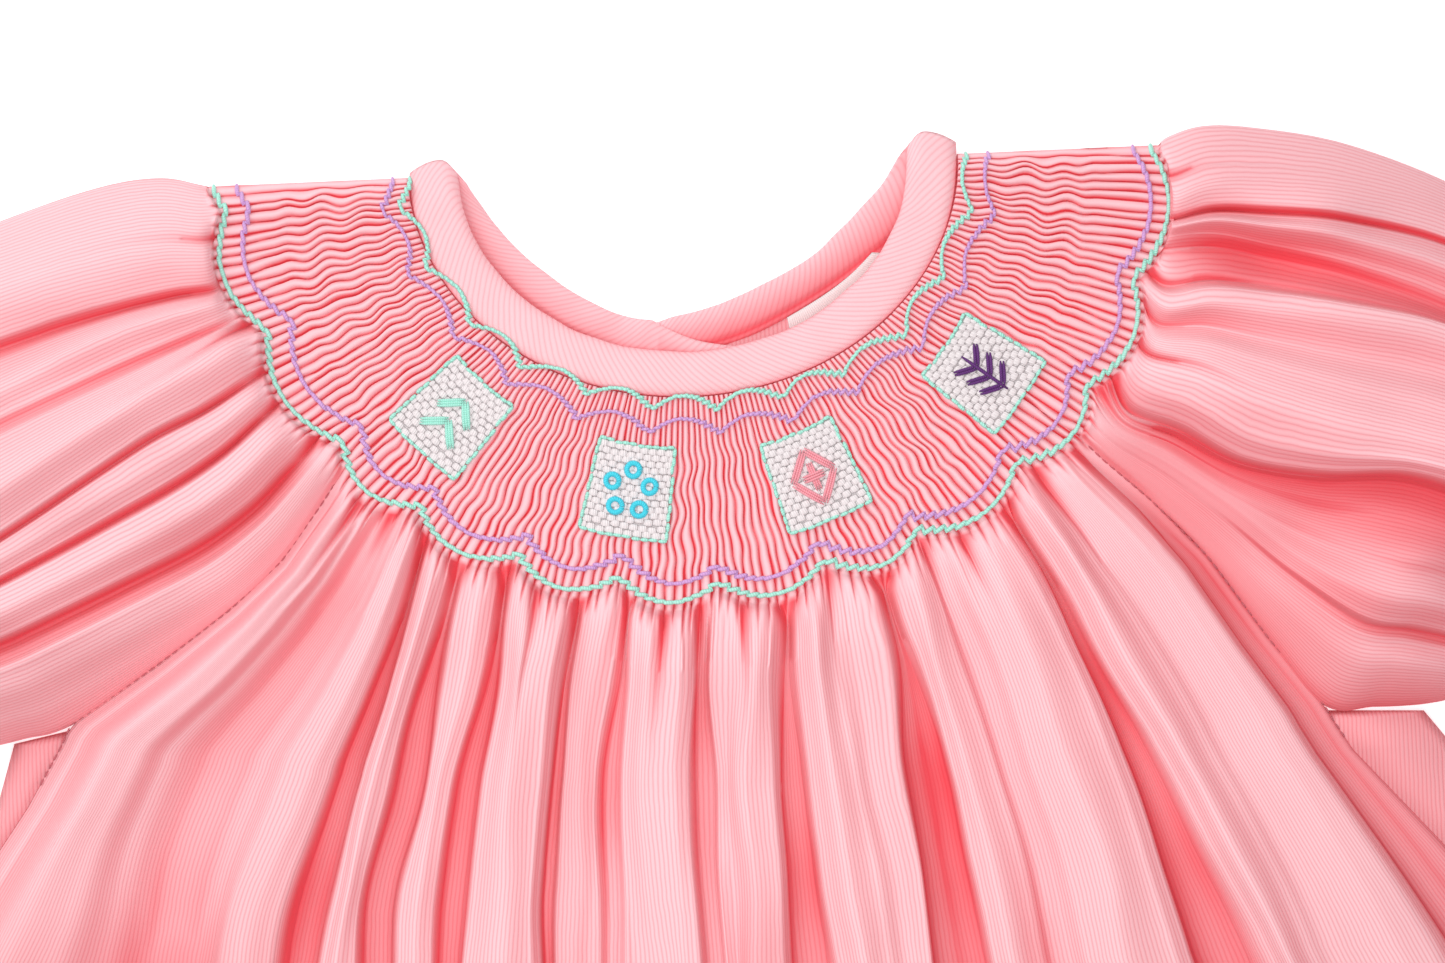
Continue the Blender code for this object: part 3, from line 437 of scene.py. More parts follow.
def thread_radius(angle, points, column, bow):
    """Radius of a thread row: points joined by arcs that bow out (or in, below zero)."""
    i, share = segment(points[:, 0], angle)
    straight = lerp(points[i, column], points[i + 1, column], share)
    return straight + bow * np.abs(np.sin(np.pi * share)) ** 0.85


def yoke_edge(angle):
    return thread_radius(angle, LOWER_POINTS, 1, LOWER_BOW) + YOKE_BELOW_THREAD


def front_height(angle):
    return lerp(YOKE_HEIGHT, SHOULDER_HEIGHT, np.cos(np.radians(angle)) ** 2)


def shoulder_slope(full, to_edge):
    """Height of the yoke where it bends down to the floor at the shoulder line."""
    return lerp((SHOULDER_HEIGHT + FLOOR) / 2, full, to_edge**0.5)


def pleat_shape(key, radius, seed):
    """(height from 0 to 1 across a pleat, painted shade in the creases between pleats) with uneven pleat
    widths.
    """
    number = np.floor(key)
    uneven = 0.3 * soft_noise(number * 7.31, radius / 9.0, seed)
    uneven_next = 0.3 * soft_noise((number + 1.0) * 7.31, radius / 9.0, seed)
    part = key - number
    share = np.clip((part - uneven) / (1.0 + uneven_next - uneven), 0.0, 1.0)
    height = (4.0 * share * (1.0 - share)) ** PLEAT_ROUNDNESS
    return height, np.clip(1.15 * (1.0 - height) ** 0.8, 0.0, 1.0)


def pleat_sway(key, radius, wavy):
    """How far the pleats lean sideways, in waves that they share with their neighbours, in mm."""
    held = smooth((radius - 71.0) / 7.0) * smooth((109.0 - radius) / 6.0)
    start = 4.0 * soft_noise(key / 9.0, radius / 50.0, 11) + 0.1 * key
    size = wavy * (0.75 + 0.5 * soft_noise(key / 6.0, radius / 12.0, 14))
    sway = size * np.sin(2.0 * math.pi * radius / 11.0 + start)
    sway += 0.55 * soft_noise(key / 2.5, radius / 6.0, 12)
    return sway * held


FINE_PARTS = (0.0, 0.07, 0.17, 0.32, 0.5, 0.68, 0.83, 0.93)


def fine_keys(count, finer):
    keys = [whole + part for whole in range(round(count * finer)) for part in FINE_PARTS]
    return np.array(keys + [count * finer]) / finer


# Rows of cloth: each is (place along the piece, keys, points, grain), where grain is
# (mm across the cloth's ribs, mm along them, painted shade, how far the ribs show)


def make_grain(across, along, painted_shade, ribs):
    return np.stack(np.broadcast_arrays(across, along, painted_shade, ribs), axis=-1).astype(float)


def bridge(first, first_at, second, second_at):
    """Triangles between two lines of vertices, each with its places along the line."""
    faces = []
    i = j = 0
    while i < len(first) - 1 or j < len(second) - 1:
        if j == len(second) - 1 or (
            i < len(first) - 1 and first_at[i + 1] <= second_at[j + 1]
        ):
            faces.append((first[i], first[i + 1], second[j]))
            i += 1
        else:
            faces.append((first[i], second[j + 1], second[j]))
            j += 1
    return faces


def row_faces(rows, start):
    """(numbers of each row's vertices, faces) of one surface."""
    numbers, faces = [], []
    for _, keys, _, _ in rows:
        numbers.append(np.arange(start, start + len(keys)))
        start += len(keys)
    for (_, keys, _, _), (_, next_keys, _, _), a, b in zip(rows, rows[1:], numbers, numbers[1:]):
        if len(keys) == len(next_keys) and np.allclose(keys, next_keys):
            quads = np.stack((a[:-1], a[1:], b[1:], b[:-1]), axis=1)
            faces.extend(quads.tolist())
        else:
            faces.extend(bridge(a, keys, b, next_keys))
    return numbers, faces


def to_frame(points):
    points = np.asarray(points, float) * MM
    points[:, 1] += PLAN_SHIFT * MM
    return points


def turn_out(mesh, join=0.0):
    """Turns all faces outwards, after joining corners that lie closer than join."""
    work = bmesh.new()
    work.from_mesh(mesh)
    if join:
        bmesh.ops.remove_doubles(work, verts=work.verts, dist=join)
    bmesh.ops.recalc_face_normals(work, faces=work.faces)
    work.to_mesh(mesh)
    work.free()


def make_piece(name, mesh, material, grain):
    """A smooth piece from a mesh, its material and the grain at its corners."""
    lines = mesh.attributes.new("grain", "FLOAT_VECTOR", "POINT")
    lines.data.foreach_set("vector", grain[:, :3].astype(np.float32).ravel())
    shown = mesh.attributes.new("ribs", "FLOAT", "POINT")
    shown.data.foreach_set("value", grain[:, 3].astype(np.float32))
    mesh.shade_smooth()
    mesh.materials.append(material)
    piece = bpy.data.objects.new(name, mesh)
    bpy.context.scene.collection.objects.link(piece)
    return piece


def finish_mesh(name, points, faces, material, grain):
    mesh = bpy.data.meshes.new(name)
    mesh.from_pydata(to_frame(points).tolist(), [], faces)
    turn_out(mesh)
    return make_piece(name, mesh, material, grain)


def cloth_shell(name, outer, inner, material):
    """A closed wall of cloth from the rows of its outer and of its inner surface."""
    out_numbers, faces = row_faces(outer, 0)
    total = sum(len(keys) for _, keys, _, _ in outer)
    in_numbers, more = row_faces(inner, total)
    faces += more
    for end in (0, -1):
        faces += bridge(out_numbers[end], outer[end][1], in_numbers[end], inner[end][1])
        faces += bridge(
            [row[end] for row in out_numbers], [row[0] for row in outer],
            [row[end] for row in in_numbers], [row[0] for row in inner],
        )
    points = np.concatenate([row[2] for row in outer + inner])
    grain = np.concatenate([row[3] for row in outer + inner])
    return finish_mesh(name, points, [tuple(map(int, f)) for f in faces], material, grain)


def arc_length(points):
    steps = np.linalg.norm(np.diff(points, axis=0), axis=1)
    return np.concatenate(([0.0], np.cumsum(steps)))


# Front


def front_angle(key):
    return lerp(180.0 - RAGLAN_LEFT, RAGLAN_RIGHT, key / FRONT_PLEATS)


def seam_line(side):
    """(down, x, y) of the raglan seam from the yoke's edge to the chest, as an array."""
    angle = RAGLAN_RIGHT if side > 0 else 180.0 - RAGLAN_LEFT
    start = ring_points(angle, yoke_edge(np.array([angle]))[0], 0.0)
    rows = [(0.0, start[0], start[1])]
    for down, right_x, right_y, left_x, left_y in SEAM_ROWS:
        rows.append((down, right_x, right_y) if side > 0 else (down, left_x, left_y))
    rows.append((1.0, SIDE_ROWS[0][1] if side > 0 else SIDE_ROWS[0][2], CHEST_Y))
    return np.array(rows)


# Valleys that run out below the chest, and broad stretches that get soft painted shade there
SHALLOW_VALLEYS = ((28.55, 1.0), (35.4, 1.4))  # (pleat, half width)
SHALLOW_RISE = 3.2
SOFT_SHADES = (
    # (pleat, half width, depth of painted shade)
    (39.2, 2.4, 0.26),
    (5.3, 1.5, 0.36),
    (3.6, 4.4, 0.2),
    (55.8, 1.2, 0.3),
)
# (heights of a valley's floor, how deep the painted shade is at each)
VALLEY_FLOOR_PAINTED_SHADE = ((VALLEY_LEAST, 4.2, 5.0, 6.0, 8.0, 10.0), (1.0, 0.78, 0.66, 0.42, 0.22, 0.1))
LOW_VALLEY = 5.3  # fold lines lower than this are the floor of a valley
SHUT_WIDTH = 0.2  # how wide a valley stays under the smocking, as a share
SHUT_SPREAD = 0.55  # how far the ridges beside it spread there
BEND_REACH_CHEST, BEND_REACH_HIP = 20.0, 24.0
WAVER = 1.5
TONGUE_WIDTH = 3.3  # pleats that a small tongue of cloth is wide under the smocking
TONGUE_HEIGHT = 5.8
TONGUE_REACH_FRONT, TONGUE_REACH_SLEEVE = 24.0, 30.0
SHADE_SLOPE = 1.1  # the slope that gets full painted shade
# share of painted shade on sides turned from the key light, on the front and the two sleeves
SHADE_FRONT, SHADE_RIGHT, SHADE_LEFT = 0.42, 0.4, 0.3
GRAIN_Y = -200.0  # where the ribs' distance across the front is measured
PAST_YOKE = 60.0  # at this distance nothing is left of the yoke's pleats


def below_chest(y):
    return smooth((CHEST_Y - 5.0 - y) / 45.0)


def shallow(keys):
    return sum(np.exp(-(((keys - middle) / half) ** 2)) for middle, half in SHALLOW_VALLEYS)


def soft_shade(keys):
    return sum(depth * np.exp(-(((keys - middle) / half) ** 4))
               for middle, half, depth in SOFT_SHADES)


def fold_x(keys, column):
    return np.interp(keys, FOLDS[:, 0], FOLDS[:, column])


def side_x(side_y, column=1):
    return np.interp(-side_y, -SIDE_ROWS[:, 0], SIDE_ROWS[:, column])


def at_seam(keys):
    """1 on the front's two side edges, 0 a pleat further in."""
    return np.exp(-(from_edge(keys, FRONT_PLEATS) / 0.3) ** 2)


def fold_height(keys):
    """(heights across the front, painted shade in the valleys) from the fold table.

    Valleys that lie low are gutters with steep sides; ridges are broad and flat on top.
    """
    i, share = segment(FOLDS[:, 0], keys)
    first, last = FOLDS[i, 4], FOLDS[i + 1, 4]
    low, high = np.minimum(first, last), np.maximum(first, last)
    up = np.where(last >= first, share, 1.0 - share)
    tight = np.clip((5.8 - low) / 1.6, 0.0, 1.0) * np.clip((high - 5.0) / 4.0, 0.0, 1.0)
    steep = 1.0 - (1.0 - up) ** 1.8
    rise = lerp(smooth(up), steep, tight)
    depth = np.clip((high - low) / 5.0, 0.0, 1.0)
    floor_shade = np.interp(low, VALLEY_FLOOR_PAINTED_SHADE[0], VALLEY_FLOOR_PAINTED_SHADE[1])
    in_floor = 0.98 - 0.3 * (4.0 * share * (1.0 - share))
    painted_shade = floor_shade * np.where(high - low < 1.0, in_floor, depth * (1.0 - rise) ** 0.8)
    return VALLEY_LEAST + (lerp(low, high, rise) - VALLEY_LEAST) * FOLD_SCALE, painted_shade


def seam_height(down):
    return lerp(front_height(RAGLAN_RIGHT), SEAM_HEIGHT, smooth(down / GATHER_SHARE))


def skirt_y(x, side_y):
    bow = (HEM_MIDDLE_Y - HEM_SIDE_Y) * max(0.0, (HIP_Y - side_y) / (HIP_Y - HEM_SIDE_Y))
    return side_y + bow * (1.0 - (x / side_x(side_y)) ** 2)


def bend(distance, reach):
    """How far a line that turns here is eased over this reach to each side."""
    return np.clip(reach - np.abs(distance), 0.0, reach) ** 2 / (4.0 * reach)


def softened(keys, down_from_yoke, past_chest):
    """Sideways shift that rounds the folds' bends at the chest and hip and lets them waver."""
    angle = front_angle(keys)
    start = ring_points(angle, yoke_edge(angle), 0.0)
    chest, hip, hem = (fold_x(keys, column) for column in (1, 2, 3))
    first = (chest - start[:, 0]) / (start[:, 1] - CHEST_Y)
    second = (hip - chest) / (CHEST_Y - HIP_Y)
    third = (hem - hip) / (HIP_Y - HEM_SIDE_Y)
    shift = (second - first) * bend(past_chest, BEND_REACH_CHEST)
    shift += (third - second) * bend(past_chest - (CHEST_Y - HIP_Y), BEND_REACH_HIP)
    waver = WAVER * soft_noise(keys / 2.6, past_chest / 27.0 + 9.0, 35)
    shift += waver * smooth(down_from_yoke / 0.5)
    return shift * smooth(from_edge(keys, FRONT_PLEATS) / 3.0)


def shut_lines():
    """Where each fold line lies close under the smocking, where the valleys are nearly shut."""
    lines, low = FOLDS[:, 0].copy(), FOLDS[:, 4] < LOW_VALLEY
    low[0] = low[-1] = False
    i = 0
    while i < len(lines):
        if low[i]:
            j = i
            while low[j + 1]:
                j += 1
            middle, half = (FOLDS[i, 0] + FOLDS[j, 0]) / 2.0, (FOLDS[j, 0] - FOLDS[i, 0]) / 2.0
            lines[i:j + 1] = middle + (FOLDS[i:j + 1, 0] - middle) * SHUT_WIDTH
            lines[i - 1] += SHUT_SPREAD * half
            lines[j + 1] -= SHUT_SPREAD * half
            i = j
        i += 1
    lines[0], lines[-1] = FOLDS[0, 0], FOLDS[-1, 0]
    return lines


SHUT_LINES = shut_lines()


def shut_valleys(keys, row, distance):
    shut = smooth(distance / 6.0) * (1.0 - smooth((distance - 12.0) / 38.0))
    moved = keys + shut * (np.interp(keys, FOLDS[:, 0], SHUT_LINES) - keys)
    return np.interp(moved, keys, row)


def gathered_row(keys, down):
    """Inner points of the front between the yoke's edge (0) and the chest (1)."""
    angle = front_angle(keys)
    start = ring_points(angle, yoke_edge(angle), front_height(angle))
    x = lerp(start[:, 0], fold_x(keys, 1), down)
    y = lerp(start[:, 1], CHEST_Y, down)
    for side, near in ((-1, keys), (1, FRONT_PLEATS - keys)):
        seam = seam_line(side)
        pull = np.maximum(0.0, 1.0 - near / SEAM_PULL_PLEATS) ** 2
        for line, column in ((x, 1), (y, 2)):
            straight = lerp(seam[0, column], seam[-1, column], down)
            line += pull * (np.interp(down, seam[:, 0], seam[:, column]) - straight)
    x += softened(keys, down, (CHEST_Y - start[:, 1]) * (1.0 - down))
    distance = np.hypot(x - start[:, 0], y - start[:, 1])
    x, y = shut_valleys(keys, x, distance), shut_valleys(keys, y, distance)
    rise = 1.0 - (1.0 - np.clip(down / GATHER_SHARE, 0.0, 1.0)) ** 2.4
    z = lerp(start[:, 2], fold_height(keys)[0], rise)
    return np.stack((x, y, lerp(z, seam_height(down), at_seam(keys))), axis=1)


def skirt_row(keys, side_y):
    """Inner points of the front below the chest."""
    if side_y >= HIP_Y:
        share = (CHEST_Y - side_y) / (CHEST_Y - HIP_Y)
        x = lerp(fold_x(keys, 1), fold_x(keys, 2), share)
        for column, near in ((2, keys), (1, FRONT_PLEATS - keys)):
            straight = lerp(SIDE_ROWS[0, column], SIDE_ROWS[2, column], share)
            x += np.maximum(0.0, 1.0 - near / 3.0) * (side_x(side_y, column) - straight)
    else:
        share = (HIP_Y - side_y) / (HIP_Y - HEM_SIDE_Y)
        hip = fold_x(keys, 2) / SIDE_ROWS[2, 1]
        hem = fold_x(keys, 3) / SIDE_ROWS[-1, 1]
        x = side_x(side_y) * lerp(hip, hem, share)
    x = x + softened(keys, 1.0, CHEST_Y - side_y)
    down = (CHEST_Y - side_y) / (CHEST_Y - HEM_SIDE_Y)
    z = VALLEY_LEAST + (fold_height(keys)[0] - VALLEY_LEAST) * lerp(1.0, HEM_FULLNESS, down)
    z = z + SHALLOW_RISE * shallow(keys) * below_chest(side_y)
    return np.stack((x, skirt_y(x, side_y), lerp(z, SEAM_HEIGHT, at_seam(keys))), axis=1)


def leftover_pleats(keys, distance, seed):
    """What is left of each pleat below the smocking: height, and the painted shade in the creases between
    them.
    """
    number = np.floor(keys + 0.5)
    reach = 2.2 + 1.6 * (1.0 + soft_noise(number * 3.77, number * 0.0 + 0.5, seed))
    fade = np.exp(-((distance / reach) ** 1.6))
    height, painted_shade = pleat_shape(keys, 113.0 + distance, seed)
    return fade * height, fade * painted_shade


def turned_away(points, towards):
    """How far a row's cloth slopes down along the row (1) or against it (-1), from 0 to 1."""
    way = np.gradient(points[:, :2], axis=0)
    length = np.linalg.norm(way, axis=1) + 0.05
    slope = -towards * np.gradient(points[:, 2]) / length
    return np.clip(slope / SHADE_SLOPE, 0.0, 1.0) ** 0.75


def tongue_lines(count, deep, seed):
    """Where the cloth tucks in between the small tongues under the smocking."""
    rng = np.random.default_rng(seed)
    lines = [0.0]
    for end in list(deep) + [float(count)]:
        parts = max(1, int(round((end - lines[-1]) / TONGUE_WIDTH)))
        start = lines[-1]
        for part in range(1, parts):
            lines.append(start + (end - start) * (part + rng.uniform(-0.16, 0.16)) / parts)
        lines.append(end)
    return np.array(lines), rng.uniform(0.6, 1.25, len(lines))


def tongues(keys, distance, lines, sizes, reach):
    """Small folds that swell under the smocking and run out below: height, and painted shade in the tucks
    between them.
    """
    i, share = segment(lines, keys)
    width = lines[i + 1] - lines[i]
    share = np.clip(share, 0.0, 1.0)
    size = lerp(sizes[i], sizes[i + 1], share)
    round_top = (4.0 * share * (1.0 - share)) ** 0.5
    last = np.exp(-((distance / (reach * size)) ** 1.7))
    shown = smooth(distance / 2.6) * last
    near = np.minimum(share, 1.0 - share) * width
    gap = 0.3 + 0.6 * np.exp(-distance / 6.0)
    # painted shade in the tucks, strongest close under the smocking
    dark = 0.32 * last + 0.68 * np.exp(-((distance / (10.0 * size)) ** 1.5))
    painted_shade = np.exp(-((near / gap) ** 2)) * smooth(distance / 1.5) * dark
    return TONGUE_HEIGHT * (round_top - 0.16) * shown * size, painted_shade


YOKE_SHARES = np.linspace(0.0, 1.0, 50)
CLOSE_DOWNS = np.linspace(0.0, 0.34, 19)[1:]
WIDE_DOWNS = np.linspace(0.34, 1.0, 24)[1:]
IN_PICTURE_Y = -238.0  # rows lie closer above this line than below it
SKIRT_LINES = np.concatenate((
    np.linspace(CHEST_Y, IN_PICTURE_Y, 29)[1:],
    np.linspace(IN_PICTURE_Y, HEM_SIDE_Y, 33)[1:],
))


def front_surfaces():
    fine = fine_keys(FRONT_PLEATS, FINE_FRONT)
    wide = np.unique(np.round(np.concatenate((
        np.linspace(0.0, FRONT_PLEATS, FRONT_PLEATS * 5 + 1), FOLDS[:, 0],
        (FOLDS[1:, 0] + FOLDS[:-1, 0]) / 2,
    )), 3))
    coarse = np.unique(np.round(np.concatenate((
        np.arange(0.0, FRONT_PLEATS + 1.0), FOLDS[:, 0])), 3))
    measured = arc_length(skirt_row(wide, GRAIN_Y))
    coarse_across = np.interp(coarse, wide, measured)
    outer, inner = [], []
    deep = FOLDS[(FOLDS[:, 4] < 5.1) & (FOLDS[:, 0] > 1.0) & (FOLDS[:, 0] < 71.0), 0]
    lines, sizes = tongue_lines(FRONT_PLEATS, deep, 26)
    for i, share in enumerate(YOKE_SHARES):
        angle = front_angle(fine)
        radius = lerp(neck_seam(angle) + SEAM_GAP, yoke_edge(angle), share)
        wavy = 0.3 + 0.4 * np.abs(np.cos(np.radians(angle)))
        sway = pleat_sway(fine + 25.0, radius, wavy)
        sway *= smooth(from_edge(fine, FRONT_PLEATS) / 2.0)
        leaned = angle - np.degrees(sway / radius)
        height, painted_shade = pleat_shape(fine * FINE_FRONT, radius, PLEAT_SEED_FRONT)
        z = front_height(angle) + CLOTH - YOKE_DRAW + PLEAT_HEIGHT * height
        grain = make_grain(fine * RIB_PLEAT, radius, painted_shade, RIBS_ON_YOKE)
        outer.append((share, fine, ring_points(leaned, radius, z), grain))
        if i % 7 == 0:
            angle = front_angle(coarse)
            radius = lerp(neck_seam(angle) + SEAM_GAP, yoke_edge(angle), share)
            points = ring_points(angle, radius, front_height(angle))
            grain = make_grain(coarse_across, radius, INNER_PAINTED_SHADE, 0.5)
            inner.append((share, coarse, points, grain))

    def lower(place, keys, points, distance):
        """Adds an outer row below the yoke, from the inner points under it."""
        pleat, painted_shade = leftover_pleats(keys * FINE_FRONT, distance, PLEAT_SEED_FRONT)
        folded = fold_height(keys)[1]
        points = points.copy()
        bumps = 0.45 * soft_noise(keys / 1.9, points[:, 1] / 19.0, 31) * smooth(distance / 20.0)
        swell, tuck_shade = tongues(keys, distance, lines, sizes, TONGUE_REACH_FRONT)
        edge = smooth(from_edge(keys, FRONT_PLEATS) / 1.5)
        drift = 0.9 + 0.26 * soft_noise(keys / 4.0, points[:, 1] / 24.0, 36)
        # painted shade in the fold valleys, fainter near the smocking, varying a little, with soft
        # painted shade below the chest
        depth = folded * drift * (0.12 + 0.88 * smooth((distance - 4.0) / 30.0))
        low_down = below_chest(points[:, 1])
        depth = depth * (1.0 - 0.65 * low_down * shallow(keys))
        depth = np.maximum(depth, soft_shade(keys) * low_down)
        calm = 1.0 - np.clip(folded * 1.6, 0.0, 1.0)
        points[:, 2] += (CLOTH - YOKE_DRAW * np.exp(-distance / 6.0) + PLEAT_HEIGHT * pleat
                         + bumps * calm + swell * edge * calm)
        shown = smooth((distance - 2.0) / 9.0)
        painted_shade = np.maximum(np.maximum(depth, painted_shade * 0.9), tuck_shade * edge)
        # painted shade on sides that slope away from the key light
        painted_shade = np.clip(painted_shade + SHADE_FRONT * turned_away(points, 1.0), 0.0, 1.0)
        grain = make_grain(np.interp(keys, wide, measured), -points[:, 1], painted_shade, shown)
        outer.append((place, keys, points, grain))

    def lower_inside(place, points):
        grain = make_grain(coarse_across, -points[:, 1], INNER_PAINTED_SHADE, 1.0)
        inner.append((place, coarse, points, grain))

    for downs, keys in ((CLOSE_DOWNS, fine), (WIDE_DOWNS, wide)):
        top = gathered_row(keys, 0.0)
        for down in downs:
            points = gathered_row(keys, down)
            lower(1.0 + down, keys, points, np.linalg.norm((points - top)[:, :2], axis=1))
    for number, down in enumerate(np.concatenate((CLOSE_DOWNS, WIDE_DOWNS))):
        if number % 3 == 2 or down == 1.0:
            lower_inside(1.0 + down, gathered_row(coarse, down))
    for number, side_y in enumerate(SKIRT_LINES):
        lower(3.0 + number, wide, skirt_row(wide, side_y), np.full(len(wide), PAST_YOKE))
        if number % 3 == 2 or number == len(SKIRT_LINES) - 1:
            lower_inside(3.0 + number, skirt_row(coarse, side_y))
    return outer, inner


# Sleeves


class Section:
    """One section across a sleeve: its foot, the way and direction out from it, its puff."""

    def __init__(self, i, side):
        row = SLEEVE_SECTIONS[i]
        self.foot = np.array(row[0:2] if side > 0 else row[2:4])
        self.along = np.array(row[4:6] if side > 0 else row[6:8]) - self.foot
        self.length = math.hypot(*self.along)
        self.out = np.array((side * self.along[1], -side * self.along[0])) / self.length
        self.puff, self.bow = row[8:]

    def place(self, share):
        """Points at shares of the way up, on the section's bow."""
        bowed = self.out * (self.bow * 4.0 * share * (1.0 - share))[:, None]
        return self.foot + self.along * share[:, None] + bowed

    def band(self, share, distance):
        """Points at shares of the way up, straight across and this far out."""
        return self.foot + self.along * share[:, None] + self.out * distance

    def back_shares(self):
        return np.linspace(1.0 - FOLD_ROUNDING / self.length, 0.0, BACK_COLUMNS)


def sleeve_folds(side):
    return SLEEVE_FOLDS_RIGHT if side > 0 else SLEEVE_FOLDS_LEFT


def sleeve_at(i, keys, side):
    """Inner points on top of the sleeve at one section."""
    folds = sleeve_folds(side)
    section = Section(i, side)
    station = i + 1.0
    shares = [keys / SLEEVE_PLEATS]
    shares += [np.interp(keys, folds[:, 0], folds[:, column]) for column in (1, 2, 3, 4)]
    after = min(int(np.searchsorted(SLEEVE_STATIONS, station)), len(SLEEVE_STATIONS) - 1)
    first, last = SLEEVE_STATIONS[after - 1], SLEEVE_STATIONS[after]
    share = lerp(shares[after - 1], shares[after], (station - first) / (last - first))
    k, part = segment(folds[:, 0], keys)
    heights = lerp(folds[:, 5], folds[:, 6], min(1.0, max(0.0, (station - 3.0) / 2.0)))
    heights = heights * (1.0 if side > 0 else LEFT_WAVES)
    wave = lerp(heights[k], heights[k + 1], smooth(part))
    dome = np.sin(np.pi * np.clip(share, 0.0, 1.0)) ** PUFF_ROUNDNESS
    calm = np.minimum(1.0, 6.0 * from_edge(share, 1.0))
    calm *= min(1.0, section.puff / WAVE_PUFF) ** 1.5
    low = seam_height(SEAM_ROWS[i][0]) if i < 5 else SEAM_HEIGHT
    z = low + section.puff * dome + wave * calm
    return np.column_stack((section.place(share), z))


def swells(points, keys, distance, side):
    total = np.zeros(len(points))
    for x, y, height, wide, tall in SWELLS_RIGHT if side > 0 else SWELLS_LEFT:
        far = ((points[:, 0] - x) / wide) ** 2 + ((points[:, 1] - y) / tall) ** 2
        total += height * np.exp(-far)
    return total * smooth(from_edge(keys, SLEEVE_PLEATS) / 1.5) * smooth(distance / 20.0)


def fold_painted_shade(keys, share, side):
    """Painted shade in the sleeve's folds, from the yoke's edge (0) to the cuff (1)."""
    folds = sleeve_folds(side)
    depth = np.interp(keys, folds[:, 0], folds[:, 7])
    if side < 0:
        return depth * smooth(share * 7.0)
    depth *= smooth((share - 0.03) * 4.0)
    low = 1.0 - smooth((keys - 2.6) / 0.8)
    depth *= 1.0 - 0.7 * low * (1.0 - smooth((share - 0.4) / 0.3))
    in_shade = 0.36 * np.exp(-(((keys - 2.4) / 2.4) ** 4))
    in_shade *= smooth(share * 5.0) * (1.0 - smooth((share - 0.45) / 0.3))
    return np.maximum(depth, in_shade)


def through(sections, share):
    """A row of points between given rows, on a smooth curve through each column."""
    last = len(sections) - 1
    place = share * last
    i = min(int(place), last - 1)
    t = place - i
    p1, p2 = sections[i], sections[i + 1]
    p0 = sections[i - 1] if i > 0 else p1
    p3 = sections[i + 2] if i < last - 1 else p2
    m1, m2 = (p2 - p0) / 2.0, (p3 - p1) / 2.0
    t2, t3 = t * t, t * t * t
    return (2*t3 - 3*t2 + 1) * p1 + (t3 - 2*t2 + t) * m1 + (3*t2 - 2*t3) * p2 + (t3 - t2) * m2


def sleeve_angle(angle, side):
    """Angle on the ring, from an angle counted from the sleeve's own shoulder line."""
    return angle if side > 0 else 180.0 - angle


def sleeve_keys(side):
    """Places across a sleeve: for its pleats, for its folds and for its inner side."""
    folds = sleeve_folds(side)
    even = np.interp(np.linspace(0.0, 1.0, 90), folds[:, 3], folds[:, 0])
    between = [lerp(folds[:-1, 0], folds[1:, 0], part) for part in (0.0, 0.25, 0.5, 0.75)]
    wide = np.unique(np.round(np.concatenate(
        [np.linspace(0.0, SLEEVE_PLEATS, 76), even] + between), 3))
    coarse = np.unique(np.round(np.concatenate((
        np.arange(0.0, SLEEVE_PLEATS + 1.0), folds[:, 0])), 3))
    return fine_keys(SLEEVE_PLEATS, FINE_SLEEVE), wide, coarse


def on_yoke(keys, share, side):
    """(angle, radius, how near to full height: 0 on the shoulder line) on a sleeve's yoke."""
    raglan = RAGLAN_RIGHT if side > 0 else RAGLAN_LEFT
    angle = sleeve_angle(lerp(raglan, 0.0, keys / SLEEVE_PLEATS), side)
    radius = lerp(neck_seam(angle) + SEAM_GAP, yoke_edge(angle), share)
    return angle, radius, smooth((SLEEVE_PLEATS - keys) / 2.5)


def back_of_yoke(share, height, side):
    """The layer of a sleeve's yoke that lies on the floor, from the shoulder to the raglan."""
    raglan = RAGLAN_RIGHT if side > 0 else RAGLAN_LEFT
    first = math.degrees(FOLD_ROUNDING / 119.0)
    angle = sleeve_angle(np.linspace(first, raglan, BACK_COLUMNS), side)
    radius = lerp(neck_seam(angle, back=True) + SEAM_GAP, yoke_edge(angle) - 3.0, share)
    return ring_points(angle, radius, height)


def sleeve_yoke_rows(side, back_across):
    fine, _, coarse = sleeve_keys(side)
    outer, inner = [], []
    for number, share in enumerate(YOKE_SHARES):
        angle, radius, to_edge = on_yoke(fine, share, side)
        sway = pleat_sway(fine + 110.0, radius, 0.62)
        sway *= smooth(from_edge(fine, SLEEVE_PLEATS) / 2.0)
        height, painted_shade = pleat_shape(fine * FINE_SLEEVE, radius, PLEAT_SEED_SLEEVE + side)
        z = shoulder_slope(front_height(angle) + CLOTH - YOKE_DRAW, to_edge)
        z = z + PLEAT_HEIGHT * height * lerp(SHOULDER_PLEATS, 1.0, to_edge)
        top = ring_points(angle - np.degrees(sway / radius), radius, z)
        grain = np.concatenate((
            make_grain(fine * RIB_PLEAT, radius, painted_shade, RIBS_ON_YOKE),
            make_grain(back_across, np.full(BACK_COLUMNS, 90.0), 0.0, 1.0),
        ))
        outer.append((share, np.concatenate((fine, BACK_KEYS)),
                      np.concatenate((top, back_of_yoke(share, 0.0, side))), grain))
        if number % 7 == 0:
            angle, radius, to_edge = on_yoke(coarse, share, side)
            top = ring_points(angle, radius - 0.2, shoulder_slope(front_height(angle), to_edge))
            keys = np.concatenate((coarse, BACK_KEYS))
            inner.append((share, keys, np.concatenate((top, back_of_yoke(share, FLOOR, side))),
                          make_grain(keys * 3.0, 0.0, INNER_PAINTED_SHADE, 0.5)))
    return outer, inner


